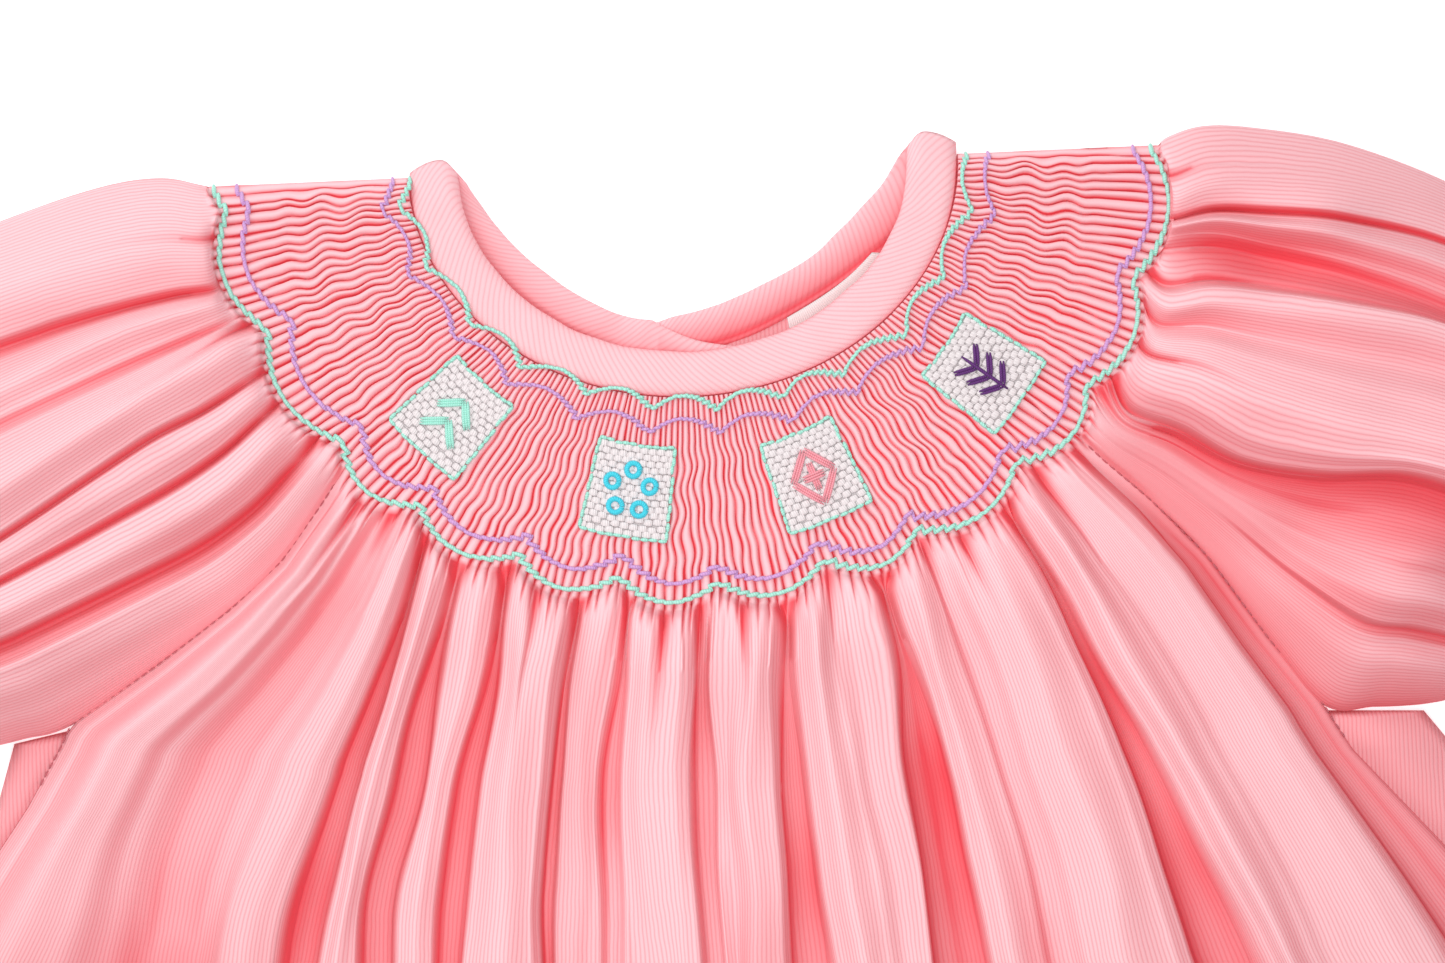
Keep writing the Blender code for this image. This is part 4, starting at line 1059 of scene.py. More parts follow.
def sleeve_sections(keys, side):
    """Inner points on top of the sleeve at the yoke's edge and at each section."""
    angle, radius, to_edge = on_yoke(keys, 1.0, side)
    first = ring_points(angle, radius, shoulder_slope(front_height(angle), to_edge))
    return [first] + [sleeve_at(i, keys, side) for i in range(len(SLEEVE_SECTIONS))]


def sleeve_back_sections(side):
    """The layer on the floor at the yoke's edge and at each section: outline to raglan."""
    rows = [back_of_yoke(1.0, 0.0, side)]
    for i in range(len(SLEEVE_SECTIONS)):
        section = Section(i, side)
        place = section.place(section.back_shares())
        rows.append(np.column_stack((place, np.zeros(BACK_COLUMNS))))
    return rows


def puff(top, keys, share, side, lines, sizes):
    """Raises a row of inner points to the sleeve's outer side; (painted shade, ribs shown)."""
    distance = np.full(len(keys), share * SLEEVE_LENGTH)
    left, painted_shade = leftover_pleats(keys * FINE_SLEEVE, distance, PLEAT_SEED_SLEEVE + side)
    to_cuff = SLEEVE_LENGTH * (1.0 - share)
    gathers = np.exp(-to_cuff / 13.0) * 1.3 * np.sin(
        keys * 5.1 + 2.0 * soft_noise(keys / 1.5, share * 3.0, 41))
    edge = smooth(from_edge(keys, SLEEVE_PLEATS) * 2.0)
    bumps = 0.5 * soft_noise(keys / 2.0, share * 7.0, 33 + side)
    swell, tuck_shade = tongues(keys, distance, lines, sizes, TONGUE_REACH_SLEEVE)
    top[:, 2] += swells(top, keys, share * SLEEVE_LENGTH, side)
    top[:, 2] += (CLOTH - YOKE_DRAW * np.exp(-distance / 6.0) + PLEAT_HEIGHT * left
                  + (gathers + swell + bumps * smooth(share * 6.0)) * edge)
    painted_shade = np.maximum(np.maximum(fold_painted_shade(keys, share, side), painted_shade * 0.9), tuck_shade * edge)
    shade = SHADE_RIGHT if side > 0 else SHADE_LEFT
    # painted shade on sides that slope away from the key light
    painted_shade = np.clip(painted_shade + shade * turned_away(top, -1.0), 0.0, 1.0)
    return painted_shade, smooth((distance - 2.0) / 9.0)


def sleeve_surfaces(side):
    fine, wide, coarse = sleeve_keys(side)
    folds = sleeve_folds(side)
    deep = folds[(folds[:, 7] > 0.65) & (folds[:, 0] > 3), 0]
    lines, sizes = tongue_lines(SLEEVE_PLEATS, deep, 27 + side)
    across = arc_length(sleeve_at(4, wide, side))
    back_across = across[-1] + 3.0 + 18.0 * np.arange(BACK_COLUMNS)
    outer, inner = sleeve_yoke_rows(side, back_across)
    back_sections = sleeve_back_sections(side)
    for keys, start, stop, count in ((fine, 0.0, 0.17, 18), (wide, 0.17, 1.0, 64)):
        sections = sleeve_sections(keys, side)
        for share in np.linspace(start, stop, count + 1)[1:]:
            top = through(sections, share)
            painted_shade, shown = puff(top, keys, share, side, lines, sizes)
            along = share * SLEEVE_LENGTH + 120.0
            grain = np.concatenate((
                make_grain(np.interp(keys, wide, across), along, painted_shade, shown),
                make_grain(back_across, along, 0.0, 1.0),
            ))
            outer.append((1.0 + share, np.concatenate((keys, BACK_KEYS)),
                          np.concatenate((top, through(back_sections, share))), grain))
    sections = sleeve_sections(coarse, side)
    keys = np.concatenate((coarse, BACK_KEYS))
    for share in np.linspace(0.0, 1.0, 34)[1:]:
        top = through(sections, share)
        top[:, 2] += swells(top, coarse, share * SLEEVE_LENGTH, side)
        under = through(back_sections, share)
        under[:, 2] = FLOOR
        inner.append((1.0 + share, keys, np.concatenate((top, under)),
                      make_grain(keys * 3.0, share * SLEEVE_LENGTH, INNER_PAINTED_SHADE, 0.5)))
    return outer, inner


# Cuffs


def cuff_surfaces(side):
    section = Section(len(SLEEVE_SECTIONS) - 1, side)
    keys = np.linspace(0.0, SLEEVE_PLEATS, 61)
    share = keys / SLEEVE_PLEATS
    back_share = section.back_shares()
    dome = np.sin(np.pi * share) ** PUFF_ROUNDNESS
    outer, inner = [], []
    for part in np.linspace(0.0, 1.0, 11):
        distance = SEAM_GAP + CUFF_WIDTH * part
        round_out = math.sin(math.pi * part) ** 0.6 if 0.0 < part < 1.0 else 0.0
        place = section.band(share, distance)
        z = SEAM_HEIGHT + section.puff * dome + CLOTH + CUFF_PUFF * round_out
        z = z + 0.25 * soft_noise(keys * 1.3, part * 2.0, 51)
        back = section.band(back_share, distance)
        points = np.concatenate((
            np.column_stack((place, z)),
            np.column_stack((back, np.zeros(BACK_COLUMNS))),
        ))
        all_keys = np.concatenate((keys, BACK_KEYS))
        way = np.concatenate((share, 2.0 - back_share)) * section.length
        grain = make_grain((way + distance) / math.sqrt(2.0) * RIB / BIAS_RIB,
                           (way - distance) / math.sqrt(2.0), 0.0, 1.0)
        outer.append((part, all_keys, points, grain))
        if part in (0.0, 1.0) or abs(part - 0.5) < 0.01:
            low = np.column_stack((place, SEAM_HEIGHT + section.puff * dome))
            floor = np.column_stack((back, np.full(BACK_COLUMNS, FLOOR)))
            inner.append((part, all_keys, np.concatenate((low, floor)), grain))
    return outer, inner


# Neck binding


def back_neck(angle):
    """Radius of the back binding's upper edge, on a smooth curve through its given radii."""
    radii = np.array(BACK_NECK)
    place = np.clip(np.asarray(angle, float) / BACK_NECK_STEP, 0.0, len(radii) - 1.001)
    i = np.floor(place).astype(int)
    t = place - i
    slopes = np.gradient(radii)
    bend = (2.0 * t**3 - 3.0 * t**2 + 1.0) * radii[i] + (3.0 * t**2 - 2.0 * t**3) * radii[i + 1]
    return bend + (t**3 - 2.0 * t**2 + t) * slopes[i] + (t**3 - t**2) * slopes[i + 1]


def binding_station(angle, layer):
    """(inner radius, outer radius, height of the middle) at one angle of one layer."""
    if layer == "front":
        inner = float(ring_radius(angle, NECK_HALF_WIDTH, NECK_FRONT_DEPTH))
        outer = float(neck_seam(angle))
    else:
        inner = float(back_neck(angle))
        if layer == "over" and angle < BINDING_LAP_START:
            inner = float(back_neck(BINDING_LAP_START))
            inner += BINDING_LAP_SLOPE * (BINDING_LAP_START - angle)
        if layer == "under":
            inner += 0.8 * float(smooth((angle - 96.0) / 8.0))
        widened = TIP_WIDTH_RIGHT if angle < 90.0 else TIP_WIDTH_LEFT
        near_tip = math.exp(-((min(angle, 180.0 - angle) / widened) ** 2))
        outer = inner + lerp(BACK_BINDING_WIDTH, float(neck_seam(angle)) - inner, near_tip)
    from_tip = min(angle, 180.0 - angle)
    tip_height = (SHOULDER_HEIGHT + BINDING_THICKNESS) / 2
    if layer == "front":
        height = float(front_height(angle)) + BINDING_THICKNESS / 2 + 0.5
    elif layer == "over":
        lapped = float(smooth((BINDING_UNDER_END + LAP_RISE_ANGLE - angle) / LAP_RISE_ANGLE))
        height = BINDING_THICKNESS * 0.5 + lapped * (BINDING_THICKNESS + SEAM_GAP)
    else:
        height = BINDING_THICKNESS * 0.5
    height = lerp(tip_height, height, float(smooth(from_tip / 9.0)) ** 0.7)
    return inner, outer, height


def tip_lift(angle, share):
    """How far the strip's rounded fold at each shoulder stands out beyond the shoulder line."""
    from_tip = min(angle, 180.0 - angle)
    base = TIP_BASE_RIGHT if angle < 90.0 else TIP_BASE_LEFT
    inside = 4.4 * np.sin(np.clip(share / 0.35, 0.0, 1.0) * math.pi / 2)
    outside = 1.3 + 3.1 * np.cos(np.clip((share - 0.35) / 0.65, 0.0, 1.0) * math.pi / 2)
    lift = base + np.where(share < 0.35, inside, outside)
    return lift * math.exp(-((from_tip / TIP_SPREAD) ** 2))


def binding_ring(angle, layer, along):
    """(points round the strip, their grain) at one angle, this far along the strip."""
    inner, outer, height = binding_station(angle, layer)
    from_tip = min(angle, 180.0 - angle)
    share = (1.0 - np.cos(np.linspace(0.0, math.pi, BINDING_COLUMNS))) / 2.0
    fullness = np.clip(1.0 - (2.0 * share - 1.0) ** 4, 0.0, 1.0) ** 0.5
    pucker = soft_noise(along / 6.0, share * 1.6 + along / 14.0, PUCKER_SEEDS[layer])
    edge = 0.25 * float(soft_noise(along / 7.0, 0.3, 64))
    radius = lerp(inner + edge, outer, share)
    if layer == "front":
        crown, stitched = BINDING_CROWN, 0.0
        pucker_here = 0.2 + 0.55 * math.exp(-((angle - 66.0) / 12.0) ** 2)
        # painted shade where the strip turns under at its edges
        painted_shade = 0.35 * (1.0 - fullness)
    else:
        crown, pucker_here = 0.4, 0.35
        stitched = -0.8 * np.exp(-(((share - 0.84) / 0.05) ** 2))
        # painted shade on the back band: on its slope under the front band away from the tips, and in its
        # stitched groove
        hidden = smooth((from_tip - 2.0) / 12.0)
        slope = 1.3 * smooth(share) if angle < 100.0 else 0.6 * smooth(share)
        painted_shade = np.clip(0.12 + 0.55 * slope * hidden - 0.4 * stitched, 0.0, 1.0)
    top = ring_points(angle, radius, height + (BINDING_THICKNESS / 2 + crown) * fullness
                      + pucker * pucker_here * fullness + stitched)
    low = ring_points(angle, radius, np.maximum(height - BINDING_THICKNESS / 2 * fullness, 0.0))
    lift = tip_lift(angle, share)
    top[:, 1] += lift
    low[:, 1] += lift
    width = outer - inner
    across = np.concatenate((share * width, (share * width)[::-1][1:-1] + width))
    bias = RIB / BIAS_RIB / math.sqrt(2.0)
    # painted shade on the strip's underside
    painted_shade = np.concatenate((painted_shade, np.full(BINDING_COLUMNS - 2, 0.4)))
    grain = make_grain((along + across) * bias, (along - across) * bias, painted_shade, 1.0)
    return np.concatenate((top, low[::-1][1:-1])), grain


def binding_surface():
    """The strip runs from under the lap to the right shoulder, the front and over the lap."""
    under = [(a, "under") for a in np.linspace(BINDING_UNDER_END, 2.0, 110)]
    front = [(a, "front") for a in np.linspace(0.0, 180.0, 240)]
    over = [(a, "over") for a in np.linspace(178.0, BINDING_LAP_END, 120)]
    rings, grains = [], []
    along, before = 0.0, None
    for angle, layer in under + front + over:
        inner, outer, height = binding_station(angle, layer)
        middle = ring_points(angle, (inner + outer) / 2, height)
        if before is not None:
            along += float(np.linalg.norm(middle - before))
        before = middle
        ring, grain = binding_ring(angle, layer, along)
        rings.append(ring)
        grains.append(grain)
    size = len(rings[0])
    numbers = np.arange(size)
    ahead = np.roll(numbers, -1)
    last = (len(rings) - 1) * size
    faces = []
    for a in range(0, last, size):
        b = a + size
        faces.extend(np.stack((a + numbers, a + ahead, b + ahead, b + numbers), axis=1).tolist())
    faces.append(list(range(size)))
    faces.append([last + n for n in range(size)])
    return np.concatenate(rings), faces, np.concatenate(grains)


# Threads


class Stitches:
    """Many short strands of thread gathered into one mesh."""

    def __init__(self):
        self.points, self.faces, self.grain, self.count = [], [], [], 0

    def strand(self, path, radius, sides=6, flat=1.0, taper=0.45):
        path = np.asarray(path, float)
        way = np.gradient(path, axis=0)
        way /= np.linalg.norm(way, axis=1)[:, None] + 1e-9
        side = np.cross(way, (0.0, 0.0, 1.0))
        side /= np.linalg.norm(side, axis=1)[:, None] + 1e-9
        up = np.cross(side, way)
        place = np.linspace(-1.0, 1.0, len(path))
        thick = radius * (taper + (1.0 - taper) * (1.0 - place**4))
        turns = np.linspace(0.0, 2.0 * math.pi, sides, endpoint=False)
        ring = (side[:, None] * np.cos(turns)[None, :, None]
                + up[:, None] * (flat * np.sin(turns))[None, :, None])
        points = path[:, None] + ring * thick[:, None, None]
        length = arc_length(path)
        grain = make_grain(
            length[:, None] + (turns / (2.0 * math.pi) * 0.9)[None, :],
            turns[None, :] + 0.0 * length[:, None], 0.0, 1.0)
        base = self.count
        size = len(path)
        for i in range(size - 1):
            for j in range(sides):
                k = (j + 1) % sides
                self.faces.append((base + i * sides + j, base + i * sides + k,
                                   base + (i + 1) * sides + k, base + (i + 1) * sides + j))
        self.faces.append(tuple(base + j for j in range(sides))[::-1])
        self.faces.append(tuple(base + (size - 1) * sides + j for j in range(sides)))
        self.points.append(points.reshape(-1, 3))
        self.grain.append(grain.reshape(-1, 4))
        self.count += size * sides

    def piece(self, name, material):
        return finish_mesh(name, np.concatenate(self.points), self.faces, material,
                           np.concatenate(self.grain))


def yoke_top(angle):
    """Height of the pleats' tops."""
    from_shoulder = np.minimum(angle, 180.0 - angle)
    to_edge = smooth(from_shoulder / 3.7)
    base = shoulder_slope(front_height(angle) + CLOTH - YOKE_DRAW, to_edge)
    return base + PLEAT_HEIGHT * lerp(SHOULDER_PLEATS, 1.0, to_edge)


def pleat_angles():
    """Angles of the creases between all the pleats, from the right shoulder to the left."""
    sleeve, front = round(SLEEVE_PLEATS * FINE_SLEEVE), round(FRONT_PLEATS * FINE_FRONT)
    return np.concatenate((
        np.linspace(0.0, RAGLAN_RIGHT, sleeve + 1)[:-1],
        np.linspace(RAGLAN_RIGHT, 180.0 - RAGLAN_LEFT, front + 1)[:-1],
        np.linspace(180.0 - RAGLAN_LEFT, 180.0, sleeve + 1),
    ))


def thread_row(name, points, column, material, bow, slant, thick):
    """A level stitch over every pleat and a link to the next, so that the row reads as cable."""
    stitches = Stitches()
    angles = pleat_angles()
    rng = np.random.default_rng(71 + column + int(bow))
    end = None
    for first, last in zip(angles, angles[1:]):
        middle = (first + last) / 2
        half = (0.6 + rng.normal(0.0, 0.04)) * (last - first)
        share = np.linspace(-1.0, 1.0, 7)
        way = middle + half * share
        along_row = thread_radius(way, points, column, bow)
        level = thread_radius(np.array([middle]), points, column, bow)[0]
        radius = lerp(along_row, level, 0.95) + slant * share + rng.normal(0.0, 0.07)
        z = yoke_top(way) + 0.15 + 0.4 * (1.0 - share**2) + 0.1 * share
        path = ring_points(way, radius, z)
        stitches.strand(path, thick + rng.normal(0.0, 0.02), taper=0.62)
        if end is not None:
            link = lerp(end[None], path[0][None], np.linspace(-0.25, 1.25, 5)[:, None])
            link[:, 2] -= 0.25
            stitches.strand(link, 0.8 * thick, taper=0.7)
        end = path[-1]
    return stitches.piece(name, material)


def seam_stitches(side, name, material):
    """A fine line of stitches down the raglan seam, from the smocking to the underarm."""
    stitches = Stitches()
    key = np.array([float(FRONT_PLEATS) if side > 0 else 0.0])
    line = np.concatenate([gathered_row(key, down) for down in np.linspace(0.04, 0.98, 200)])
    length = arc_length(line)
    share = np.linspace(-1.0, 1.0, 5)
    for start in np.arange(0.0, length[-1] - SEAM_STITCH, SEAM_STITCH + SEAM_STITCH_GAP):
        at = start + SEAM_STITCH * (share + 1.0) / 2.0
        path = np.column_stack([np.interp(at, length, line[:, c]) for c in range(3)])
        path[:, 2] += CLOTH + 0.1 + 0.12 * (1.0 - share**2)
        stitches.strand(path, SEAM_THREAD)
    return stitches.piece(name, material)


def block_points(block, u, v, height):
    """Points on a block from shares -1 to 1 across and from the neck side (-1) outwards."""
    _, middle, angle = block
    u, v = np.broadcast_arrays(np.asarray(u, float), np.asarray(v, float))
    radius = middle + v * BLOCK_HEIGHT / 2
    width = lerp(BLOCK_WIDTH_IN, BLOCK_WIDTH_OUT, (v + 1.0) / 2)
    turn = angle - np.degrees(u * width / 2 / radius)
    return ring_points(turn, radius, yoke_top(turn) + height)


def block_ground(block, material):
    """Satin stitches laid in bricks over a thin pad."""
    name = block[0] + "_ground"
    stitches = Stitches()
    rows, columns = 14, 9
    rng = np.random.default_rng(91)
    for row in range(rows):
        v = -1.0 + (row + 0.5) * 2.0 / rows
        for column in range(columns + row % 2):
            u = -1.0 + (column + (0.0 if row % 2 else 0.5)) * 2.0 / columns
            half = 0.93 / columns
            low, high = max(u - half, -0.99), min(u + half, 0.99)
            if high - low < 0.06:
                continue
            across = np.linspace(low, high, 5)
            height = 0.4 + 0.25 * (1.0 - np.linspace(-1.0, 1.0, 5) ** 4) + rng.normal(0.0, 0.03)
            path = block_points(block, across, v + rng.normal(0.0, 0.012), height)
            stitches.strand(path, 0.92, sides=8, flat=0.26, taper=0.84)
    pad_u = np.linspace(-1.0, 1.0, 25)
    pad_v = np.linspace(-1.0, 1.0, 25)
    base = stitches.count
    for height in (0.15, -0.35):
        for v in pad_v:
            points = block_points(block, pad_u, v, height)
            stitches.points.append(points)
            # painted shade on the pad, which shows in the pits between the stitches
            stitches.grain.append(make_grain(pad_u * 9.0, v, 0.8, 0.0))
    size = len(pad_u)
    layer = size * size
    for i in range(size - 1):
        for j in range(size - 1):
            a = base + i * size + j
            stitches.faces.append((a, a + 1, a + size + 1, a + size))
            stitches.faces.append((a + layer, a + layer + size, a + layer + size + 1, a + layer + 1))
    for i in range(size - 1):
        for a, b in (
            (i, i + 1), ((size - 1) * size + i, (size - 1) * size + i + 1),
            (i * size, (i + 1) * size), (i * size + size - 1, (i + 1) * size + size - 1),
        ):
            stitches.faces.append((base + a, base + b, base + layer + b, base + layer + a))
    stitches.count += 2 * layer
    return stitches.piece(name, material)


def block_outline(block, material):
    stitches = Stitches()
    corners = ((-1.03, -1.03), (1.03, -1.03), (1.03, 1.03), (-1.03, 1.03), (-1.03, -1.03))
    rng = np.random.default_rng(95)
    for (u0, v0), (u1, v1) in zip(corners, corners[1:]):
        count = 10
        for i in range(count):
            share = np.linspace((i + 0.04) / count, (i + 0.96) / count, 5)
            nudge = rng.normal(0.0, 0.012)
            height = 0.45 + 0.2 * (1.0 - np.linspace(-1.0, 1.0, 5) ** 2)
            u, v = lerp(u0, u1, share) + nudge, lerp(v0, v1, share) + nudge
            path = block_points(block, u, v, height)
            stitches.strand(path, 0.5, taper=0.6)
    return stitches.piece(block[0] + "_outline", material)


def motif_line(stitches, block, ends, radius, strands=1, spread=0.0, height=1.0):
    """Straight stitches side by side between two points of a block."""
    (u0, v0), (u1, v1) = ends
    length = math.hypot(u1 - u0, v1 - v0) + 1e-9
    side = (-(v1 - v0) / length, (u1 - u0) / length)
    for i in range(strands):
        off = spread * (i - (strands - 1) / 2)
        share = np.linspace(0.0, 1.0, 6)
        rise = height + 0.3 * (1.0 - np.linspace(-1.0, 1.0, 6) ** 2)
        u, v = lerp(u0, u1, share) + off * side[0], lerp(v0, v1, share) + off * side[1]
        path = block_points(block, u, v, rise)
        stitches.strand(path, radius)


def mint_motif(block, material):
    """Two nested arrowheads in satin stitch."""
    stitches = Stitches()
    for top in (-0.45, 0.1):
        for end in (-0.5, 0.5):
            motif_line(stitches, block, ((0.0, top), (end, top + 0.45)), 0.42, strands=3, spread=0.06)
    return stitches.piece(block[0] + "_motif", material)


def cyan_motif(block, material):
    """Five ringed knots in a ring."""
    stitches = Stitches()
    for number in range(5):
        turn = math.radians(90.0 + 72.0 * number)
        u, v = 0.50 * math.cos(turn), -0.47 * math.sin(turn)
        way = np.linspace(0.0, 2.0 * math.pi, 17)
        ring = 0.15
        path = block_points(block, u + ring * np.cos(way) * 1.12, v + ring * np.sin(way), 1.05)
        stitches.strand(path, 0.72, taper=1.0)
    return stitches.piece(block[0] + "_motif", material)


def pink_motif(block, material):
    """A stitched lozenge with a cross in it."""
    stitches = Stitches()
    tips = ((0.0, -0.62), (0.55, 0.0), (0.0, 0.62), (-0.55, 0.0), (0.0, -0.62))
    for first, last in zip(tips, tips[1:]):
        motif_line(stitches, block, (first, last), 0.36, strands=3, spread=0.06)
    motif_line(stitches, block, ((0.0, -0.32), (0.0, 0.32)), 0.36, strands=3, spread=0.06)
    motif_line(stitches, block, ((-0.28, 0.0), (0.28, 0.0)), 0.36, strands=3, spread=0.06, height=1.3)
    return stitches.piece(block[0] + "_motif", material)


def purple_motif(block, material):
    """A stem with paired leaves."""
    stitches = Stitches()
    motif_line(stitches, block, ((0.0, 0.65), (0.0, -0.6)), 0.5)
    for v in (-0.3, 0.05, 0.4):
        for side in (-1.0, 1.0):
            leaf = ((0.0, v + 0.12), (0.48 * side, v - 0.2))
            motif_line(stitches, block, leaf, 0.46, strands=2, spread=0.07)
    return stitches.piece(block[0] + "_motif", material)


# Materials


class Finish:
    """A few short names for building a node material."""

    def __init__(self, name):
        self.material = bpy.data.materials.new(name)
        self.material.use_nodes = True
        self.tree = self.material.node_tree
        self.shader = self.tree.nodes["Principled BSDF"]
        self.place = self.node("ShaderNodeTexCoord").outputs["Object"]

    def node(self, kind, **settings):
        made = self.tree.nodes.new(kind)
        for key, value in settings.items():
            setattr(made, key, value)
        return made

    def link(self, a, b):
        self.tree.links.new(a, b)

    def maths(self, operation, first, second=0.0):
        made = self.node("ShaderNodeMath", operation=operation)
        for socket, value in zip(made.inputs, (first, second)):
            if isinstance(value, (int, float)):
                socket.default_value = value
            else:
                self.link(value, socket)
        return made.outputs[0]

    def mix(self, share, first, second):
        made = self.node("ShaderNodeMix", data_type="RGBA")
        for socket, value in ((made.inputs[0], share), (made.inputs[6], first), (made.inputs[7], second)):
            if isinstance(value, (int, float, tuple)):
                socket.default_value = value
            else:
                self.link(value, socket)
        return made.outputs[2]


    def noise(self, scale, detail=2.0):
        made = self.node("ShaderNodeTexNoise")
        made.inputs["Scale"].default_value = scale
        made.inputs["Detail"].default_value = detail
        self.link(self.place, made.inputs["Vector"])
        return made.outputs["Fac"]

    def grain(self):
        """(across the ribs, along them, painted shade) of the cloth or thread."""
        lines = self.node("ShaderNodeAttribute", attribute_name="grain")
        split = self.node("ShaderNodeSeparateXYZ")
        self.link(lines.outputs["Vector"], split.inputs[0])
        return split.outputs

    def bump(self, height, strength, distance):
        made = self.node("ShaderNodeBump")
        made.inputs["Strength"].default_value = strength
        made.inputs["Distance"].default_value = distance
        self.link(height, made.inputs["Height"])
        self.link(made.outputs[0], self.shader.inputs["Normal"])

    def values(self, **values):
        """Plain values for the shader's sockets, with _ for a space in their names."""
        for key, value in values.items():
            self.shader.inputs[key.replace("_", " ")].default_value = value


def pique(name, colour, deep, rib_depth=0.4, rib_tint=0.42, glow=0.17):
    """Fine-rib cotton: ribs with dark lines between them, with painted shade mixed in from the grain (in
    creases and on sides turned from the light) and a painted red glow.
    """
    finish = Finish(name)
    across, _, painted_shade = finish.grain()
    ribs = finish.node("ShaderNodeAttribute", attribute_name="ribs").outputs["Fac"]
    drift = finish.maths("MULTIPLY", finish.noise(160.0, 1.0), 0.55)
    line = finish.maths("MULTIPLY", finish.maths("ADD", across, drift), math.pi / RIB)
    rib = finish.maths("POWER", finish.maths("ABSOLUTE", finish.maths("SINE", line)), 0.55)
    gap = finish.maths("MULTIPLY", finish.maths("SUBTRACT", 1.0, rib), ribs)
    shown = finish.maths("SUBTRACT", 1.0, gap)
    weave = finish.noise(1900.0)
    cloud = finish.noise(22.0, 3.0)
    ribbed = finish.maths("MULTIPLY", finish.maths("SUBTRACT", 1.0, shown), rib_tint)
    pale = finish.mix(ribbed, colour, deep)
    clouded = finish.mix(finish.maths("MULTIPLY", cloud, 0.06), pale, deep)
    grainy = finish.mix(finish.maths("MULTIPLY", weave, 0.06), clouded, deep)
    # painted shade: the colour goes towards the dark red by the grain's painted shade value
    folded = finish.mix(finish.maths("MULTIPLY", painted_shade, 0.9), grainy, deep)
    finish.link(folded, finish.shader.inputs["Base Color"])
    painted_glow_colour = finish.mix(0.72, folded, deep)  # painted glow: red light that the cloth beside it would throw back
    finish.link(painted_glow_colour, finish.shader.inputs["Emission Color"])
    height = finish.maths("ADD", shown, finish.maths("MULTIPLY", weave, 0.35))
    finish.bump(height, rib_depth, 0.00022)
    finish.values(Emission_Strength=glow, Roughness=0.75, Sheen_Weight=0.1, Sheen_Roughness=0.45,
                  Sheen_Tint=(1.0, 0.82, 0.84, 1.0), Specular_IOR_Level=0.25)
    return finish.material


def thread(name, colour, mottle=1.0, pitch=0.55, roughness=0.5):
    """Stranded cotton: a fine twist and soft gloss."""
    finish = Finish(name)
    along, _, painted_shade = finish.grain()
    twist = finish.maths("SINE", finish.maths("MULTIPLY", along, 2.0 * math.pi / pitch))
    fuzz = finish.noise(1400.0)
    dark = tuple(c * 0.55 for c in colour[:3]) + (1.0,)
    shade = finish.maths("MULTIPLY_ADD", twist, 0.12)
    shade.node.inputs[2].default_value = 0.14
    both = finish.maths("ADD", shade, finish.maths("MULTIPLY", fuzz, 0.25))
    # painted shade from the grain, such as on the blocks' pad between the stitches
    deep = finish.maths("MULTIPLY", painted_shade, 0.5)
    shades = finish.maths("ADD", finish.maths("MULTIPLY", both, mottle), deep)
    mixed = finish.mix(shades, colour, dark)
    finish.link(mixed, finish.shader.inputs["Base Color"])
    # painted glow: the thread gives off a little light of its own colour
    finish.link(mixed, finish.shader.inputs["Emission Color"])
    finish.bump(finish.maths("ADD", twist, fuzz), 0.5, 0.00012)
    finish.values(Emission_Strength=0.1, Roughness=roughness, Sheen_Weight=0.15,
                  Specular_IOR_Level=0.35)
    return finish.material


def from_solid(node, name, material):
    """A copy of a back that lies flat. Its neck edge follows the binding's, and its ribs run down."""
    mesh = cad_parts[node].data.copy()
    mesh.name = name
    turn_out(mesh, join=0.01 * MM)
    mesh.materials.clear()
    for vertex in mesh.vertices:
        x = vertex.co.x / MM - RING_MIDDLE[0]
        y = vertex.co.y / MM - PLAN_SHIFT - RING_MIDDLE[1]
        radius, angle = math.hypot(x, y), math.degrees(math.atan2(-y, x))
        if radius < 95.0 and 0.0 < angle < 180.0:
            old = float(neck_seam(angle, back=True))
            new = float(back_neck(angle)) + BACK_BINDING_WIDTH - 0.4
            near = 1.0 - float(smooth((radius - old) / 24.0))
            near *= float(smooth(min(angle, 180.0 - angle) / 14.0))
            moved = (radius - (old - new) * near) / radius
            vertex.co.x = (RING_MIDDLE[0] + x * moved) * MM
            vertex.co.y = (PLAN_SHIFT + RING_MIDDLE[1] + y * moved) * MM
    places = np.array([vertex.co for vertex in mesh.vertices]) / MM
    piece = make_piece(name, mesh, material, make_grain(places[:, 0], places[:, 1], 0.0, 1.0))
    mesh.set_sharp_from_angle(angle=math.radians(50))
    return piece


def label_surfaces():
    keys = np.linspace(0.0, 1.0, 25)
    outer, inner = [], []
    for part in np.linspace(0.0, 1.0, 13):
        angle = lerp(LABEL_TO, LABEL_FROM, keys) + 6.0 * (part - 0.5) * (1.0 - 2.0 * keys)
        radius = back_neck(angle) + BACK_BINDING_WIDTH + LABEL_DEPTH * part
        lift = FLOOR + SEAM_GAP + 0.6 + 0.25 * soft_noise(keys * 3.0, part * 2.0, 55)
        grain = make_grain(keys * 28.0, part * 13.0, 0.0, 0.3)
        outer.append((part, keys, ring_points(angle, radius, lift), grain))
        inner.append((part, keys, ring_points(angle, radius, lift - 0.5), grain))
    return outer, inner


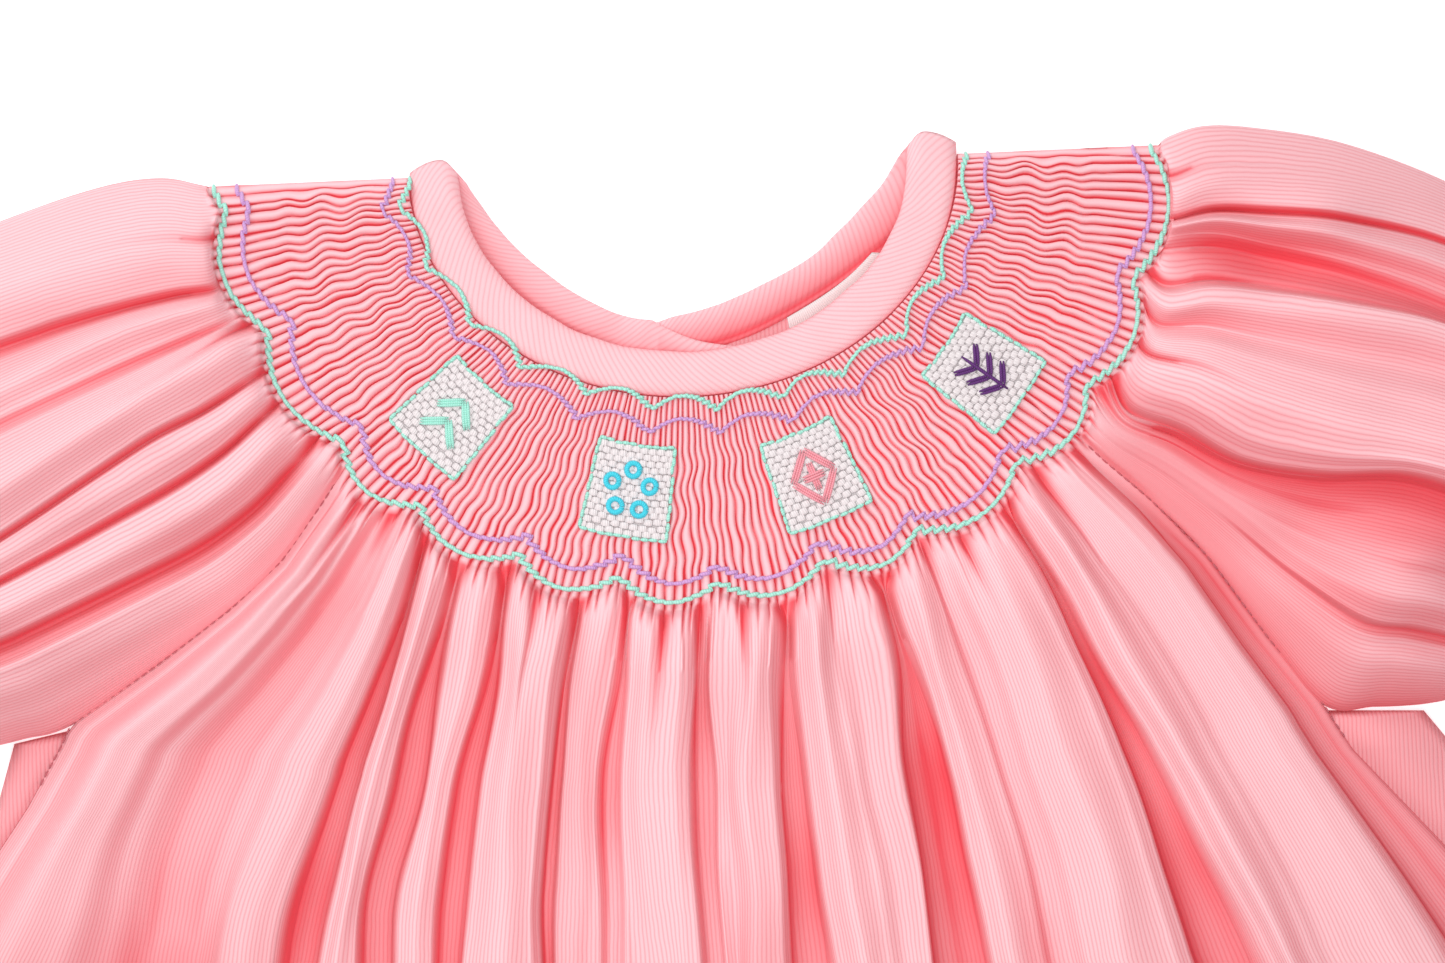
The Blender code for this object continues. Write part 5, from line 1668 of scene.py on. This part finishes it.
def stage_and_light():
    bpy.ops.mesh.primitive_plane_add(size=6.0, location=(0.0, 0.0, -0.0006))
    floor = bpy.context.object
    floor.name = "floor"
    finish = Finish("white_floor")
    finish.values(Base_Color=(0.93, 0.93, 0.93, 1.0), Roughness=0.9,
                  Emission_Color=(1.0, 1.0, 1.0, 1.0), Emission_Strength=0.5)
    floor.data.materials.append(finish.material)
    world = bpy.data.worlds.new("studio")
    bpy.context.scene.world = world
    world.use_nodes = True
    world.node_tree.nodes["Background"].inputs[0].default_value = (1.0, 0.985, 0.98, 1.0)
    world.node_tree.nodes["Background"].inputs[1].default_value = 0.38
    for name, place, size, power in (  # places and sizes in metres, power in watts
        ("key", (-0.66, 0.85, 0.72), 0.9, 7.2),
        ("overhead", (0.0, 0.14, 0.48), 0.36, 1.4),
    ):
        light = bpy.data.lights.new(name, "AREA")
        light.energy = power
        light.size = size
        thing = bpy.data.objects.new(name, light)
        bpy.context.scene.collection.objects.link(thing)
        thing.location = place
        aim = Vector((-0.01, 0.15, 0.0)) - Vector(place)
        thing.rotation_euler = aim.to_track_quat("-Z", "Y").to_euler()


CAMERA_HEIGHT = 0.9
CAMERA_OVER = (6.7, 199.4)
FRAME_WIDTH = 375.7
CAMERA_TURN = -2.5
SENSOR_WIDTH = 36.0
MEASURED_AT = 8.0  # height above the floor at which the frame is this wide


def place_camera():
    lens = bpy.data.cameras.new("camera")
    lens.sensor_width = SENSOR_WIDTH
    lens.lens = SENSOR_WIDTH * (CAMERA_HEIGHT / MM - MEASURED_AT) / FRAME_WIDTH
    camera = bpy.data.objects.new("camera", lens)
    bpy.context.scene.collection.objects.link(camera)
    camera.location = (CAMERA_OVER[0] * MM, CAMERA_OVER[1] * MM, CAMERA_HEIGHT)
    camera.rotation_euler = (0.0, 0.0, math.radians(CAMERA_TURN))
    bpy.context.scene.camera = camera


def add(piece, slot, *nodes):
    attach(piece, "root")
    if nodes:
        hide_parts(*nodes)
    return piece


def main():
    place_camera()
    stage_and_light()
    bpy.context.scene.view_settings.view_transform = "Standard"
    cloth = pique("pink_pique", PINK, PINK_TONE_AND_SHADE)
    bias = pique("pink_bias", PINK, PINK_TONE_AND_SHADE, rib_depth=0.3, rib_tint=0.3)
    # painted shade: the back layer uses a darker copy of the pink
    back_cloth_shaded = pique("pink_pique_back_shaded", PINK_BACK_SHADED, PINK_TONE_AND_SHADE)
    mint = thread("mint_thread", MINT)
    lavender = thread("lavender_thread", LAVENDER)
    white = thread("white_thread", WHITE_THREAD, mottle=0.3, roughness=0.55)

    front = add(cloth_shell("front_cloth", *front_surfaces(), cloth), "pique", "front")
    seam_thread = thread("seam_thread", SEAM_PINK, roughness=0.7)
    for side, word in ((1, "right"), (-1, "left")):
        add(seam_stitches(side, f"raglan_{word}_stitches", seam_thread), "pique")
        sleeve = cloth_shell(f"sleeve_{word}_cloth", *sleeve_surfaces(side), cloth)
        add(sleeve, "pique", f"sleeve_{word}")
        cuff = cloth_shell(f"cuff_{word}_band", *cuff_surfaces(side), bias)
        add(cuff, "bias", f"cuff_{word}")
        back = from_solid(f"back_{word}", f"back_{word}_cloth", back_cloth_shaded)
        add(back, "pique", f"back_{word}")
    points, faces, grain = binding_surface()
    binding = finish_mesh("neck_binding_strip", points, faces, bias, grain)
    add(binding, "bias", "neck_binding")
    # painted shade on the label, which lies in shade
    satin = thread("label_satin_shaded", LABEL_WHITE_SHADED, mottle=0.3)
    label = add(cloth_shell("label_patch", *label_surfaces(), satin), "label", "label")

    for row, points, column, material, bow, slant, thick in (
        ("mint_upper", UPPER_POINTS, 1, mint, -UPPER_BOW, 0.22, 0.5),
        ("lavender_upper", UPPER_POINTS, 2, lavender, -UPPER_BOW, 0.2, 0.46),
        ("mint_lower", LOWER_POINTS, 1, mint, LOWER_BOW, 0.12, 0.6),
        ("lavender_lower", LOWER_POINTS, 2, lavender, LOWER_BOW, 0.12, 0.56),
    ):
        add(thread_row(row + "_stitches", points, column, material, bow, slant, thick), "pique")
    motifs = (
        (mint_motif, mint),
        (cyan_motif, thread("cyan_thread", CYAN_THREAD)),
        (pink_motif, thread("pink_thread", PINK_THREAD)),
        (purple_motif, thread("purple_thread", PURPLE_THREAD)),
    )
    for block, (motif, material) in zip(BLOCKS, motifs):
        add(block_ground(block, white), "pique")
        add(block_outline(block, mint), "pique")
        add(motif(block, material), "pique")


main()
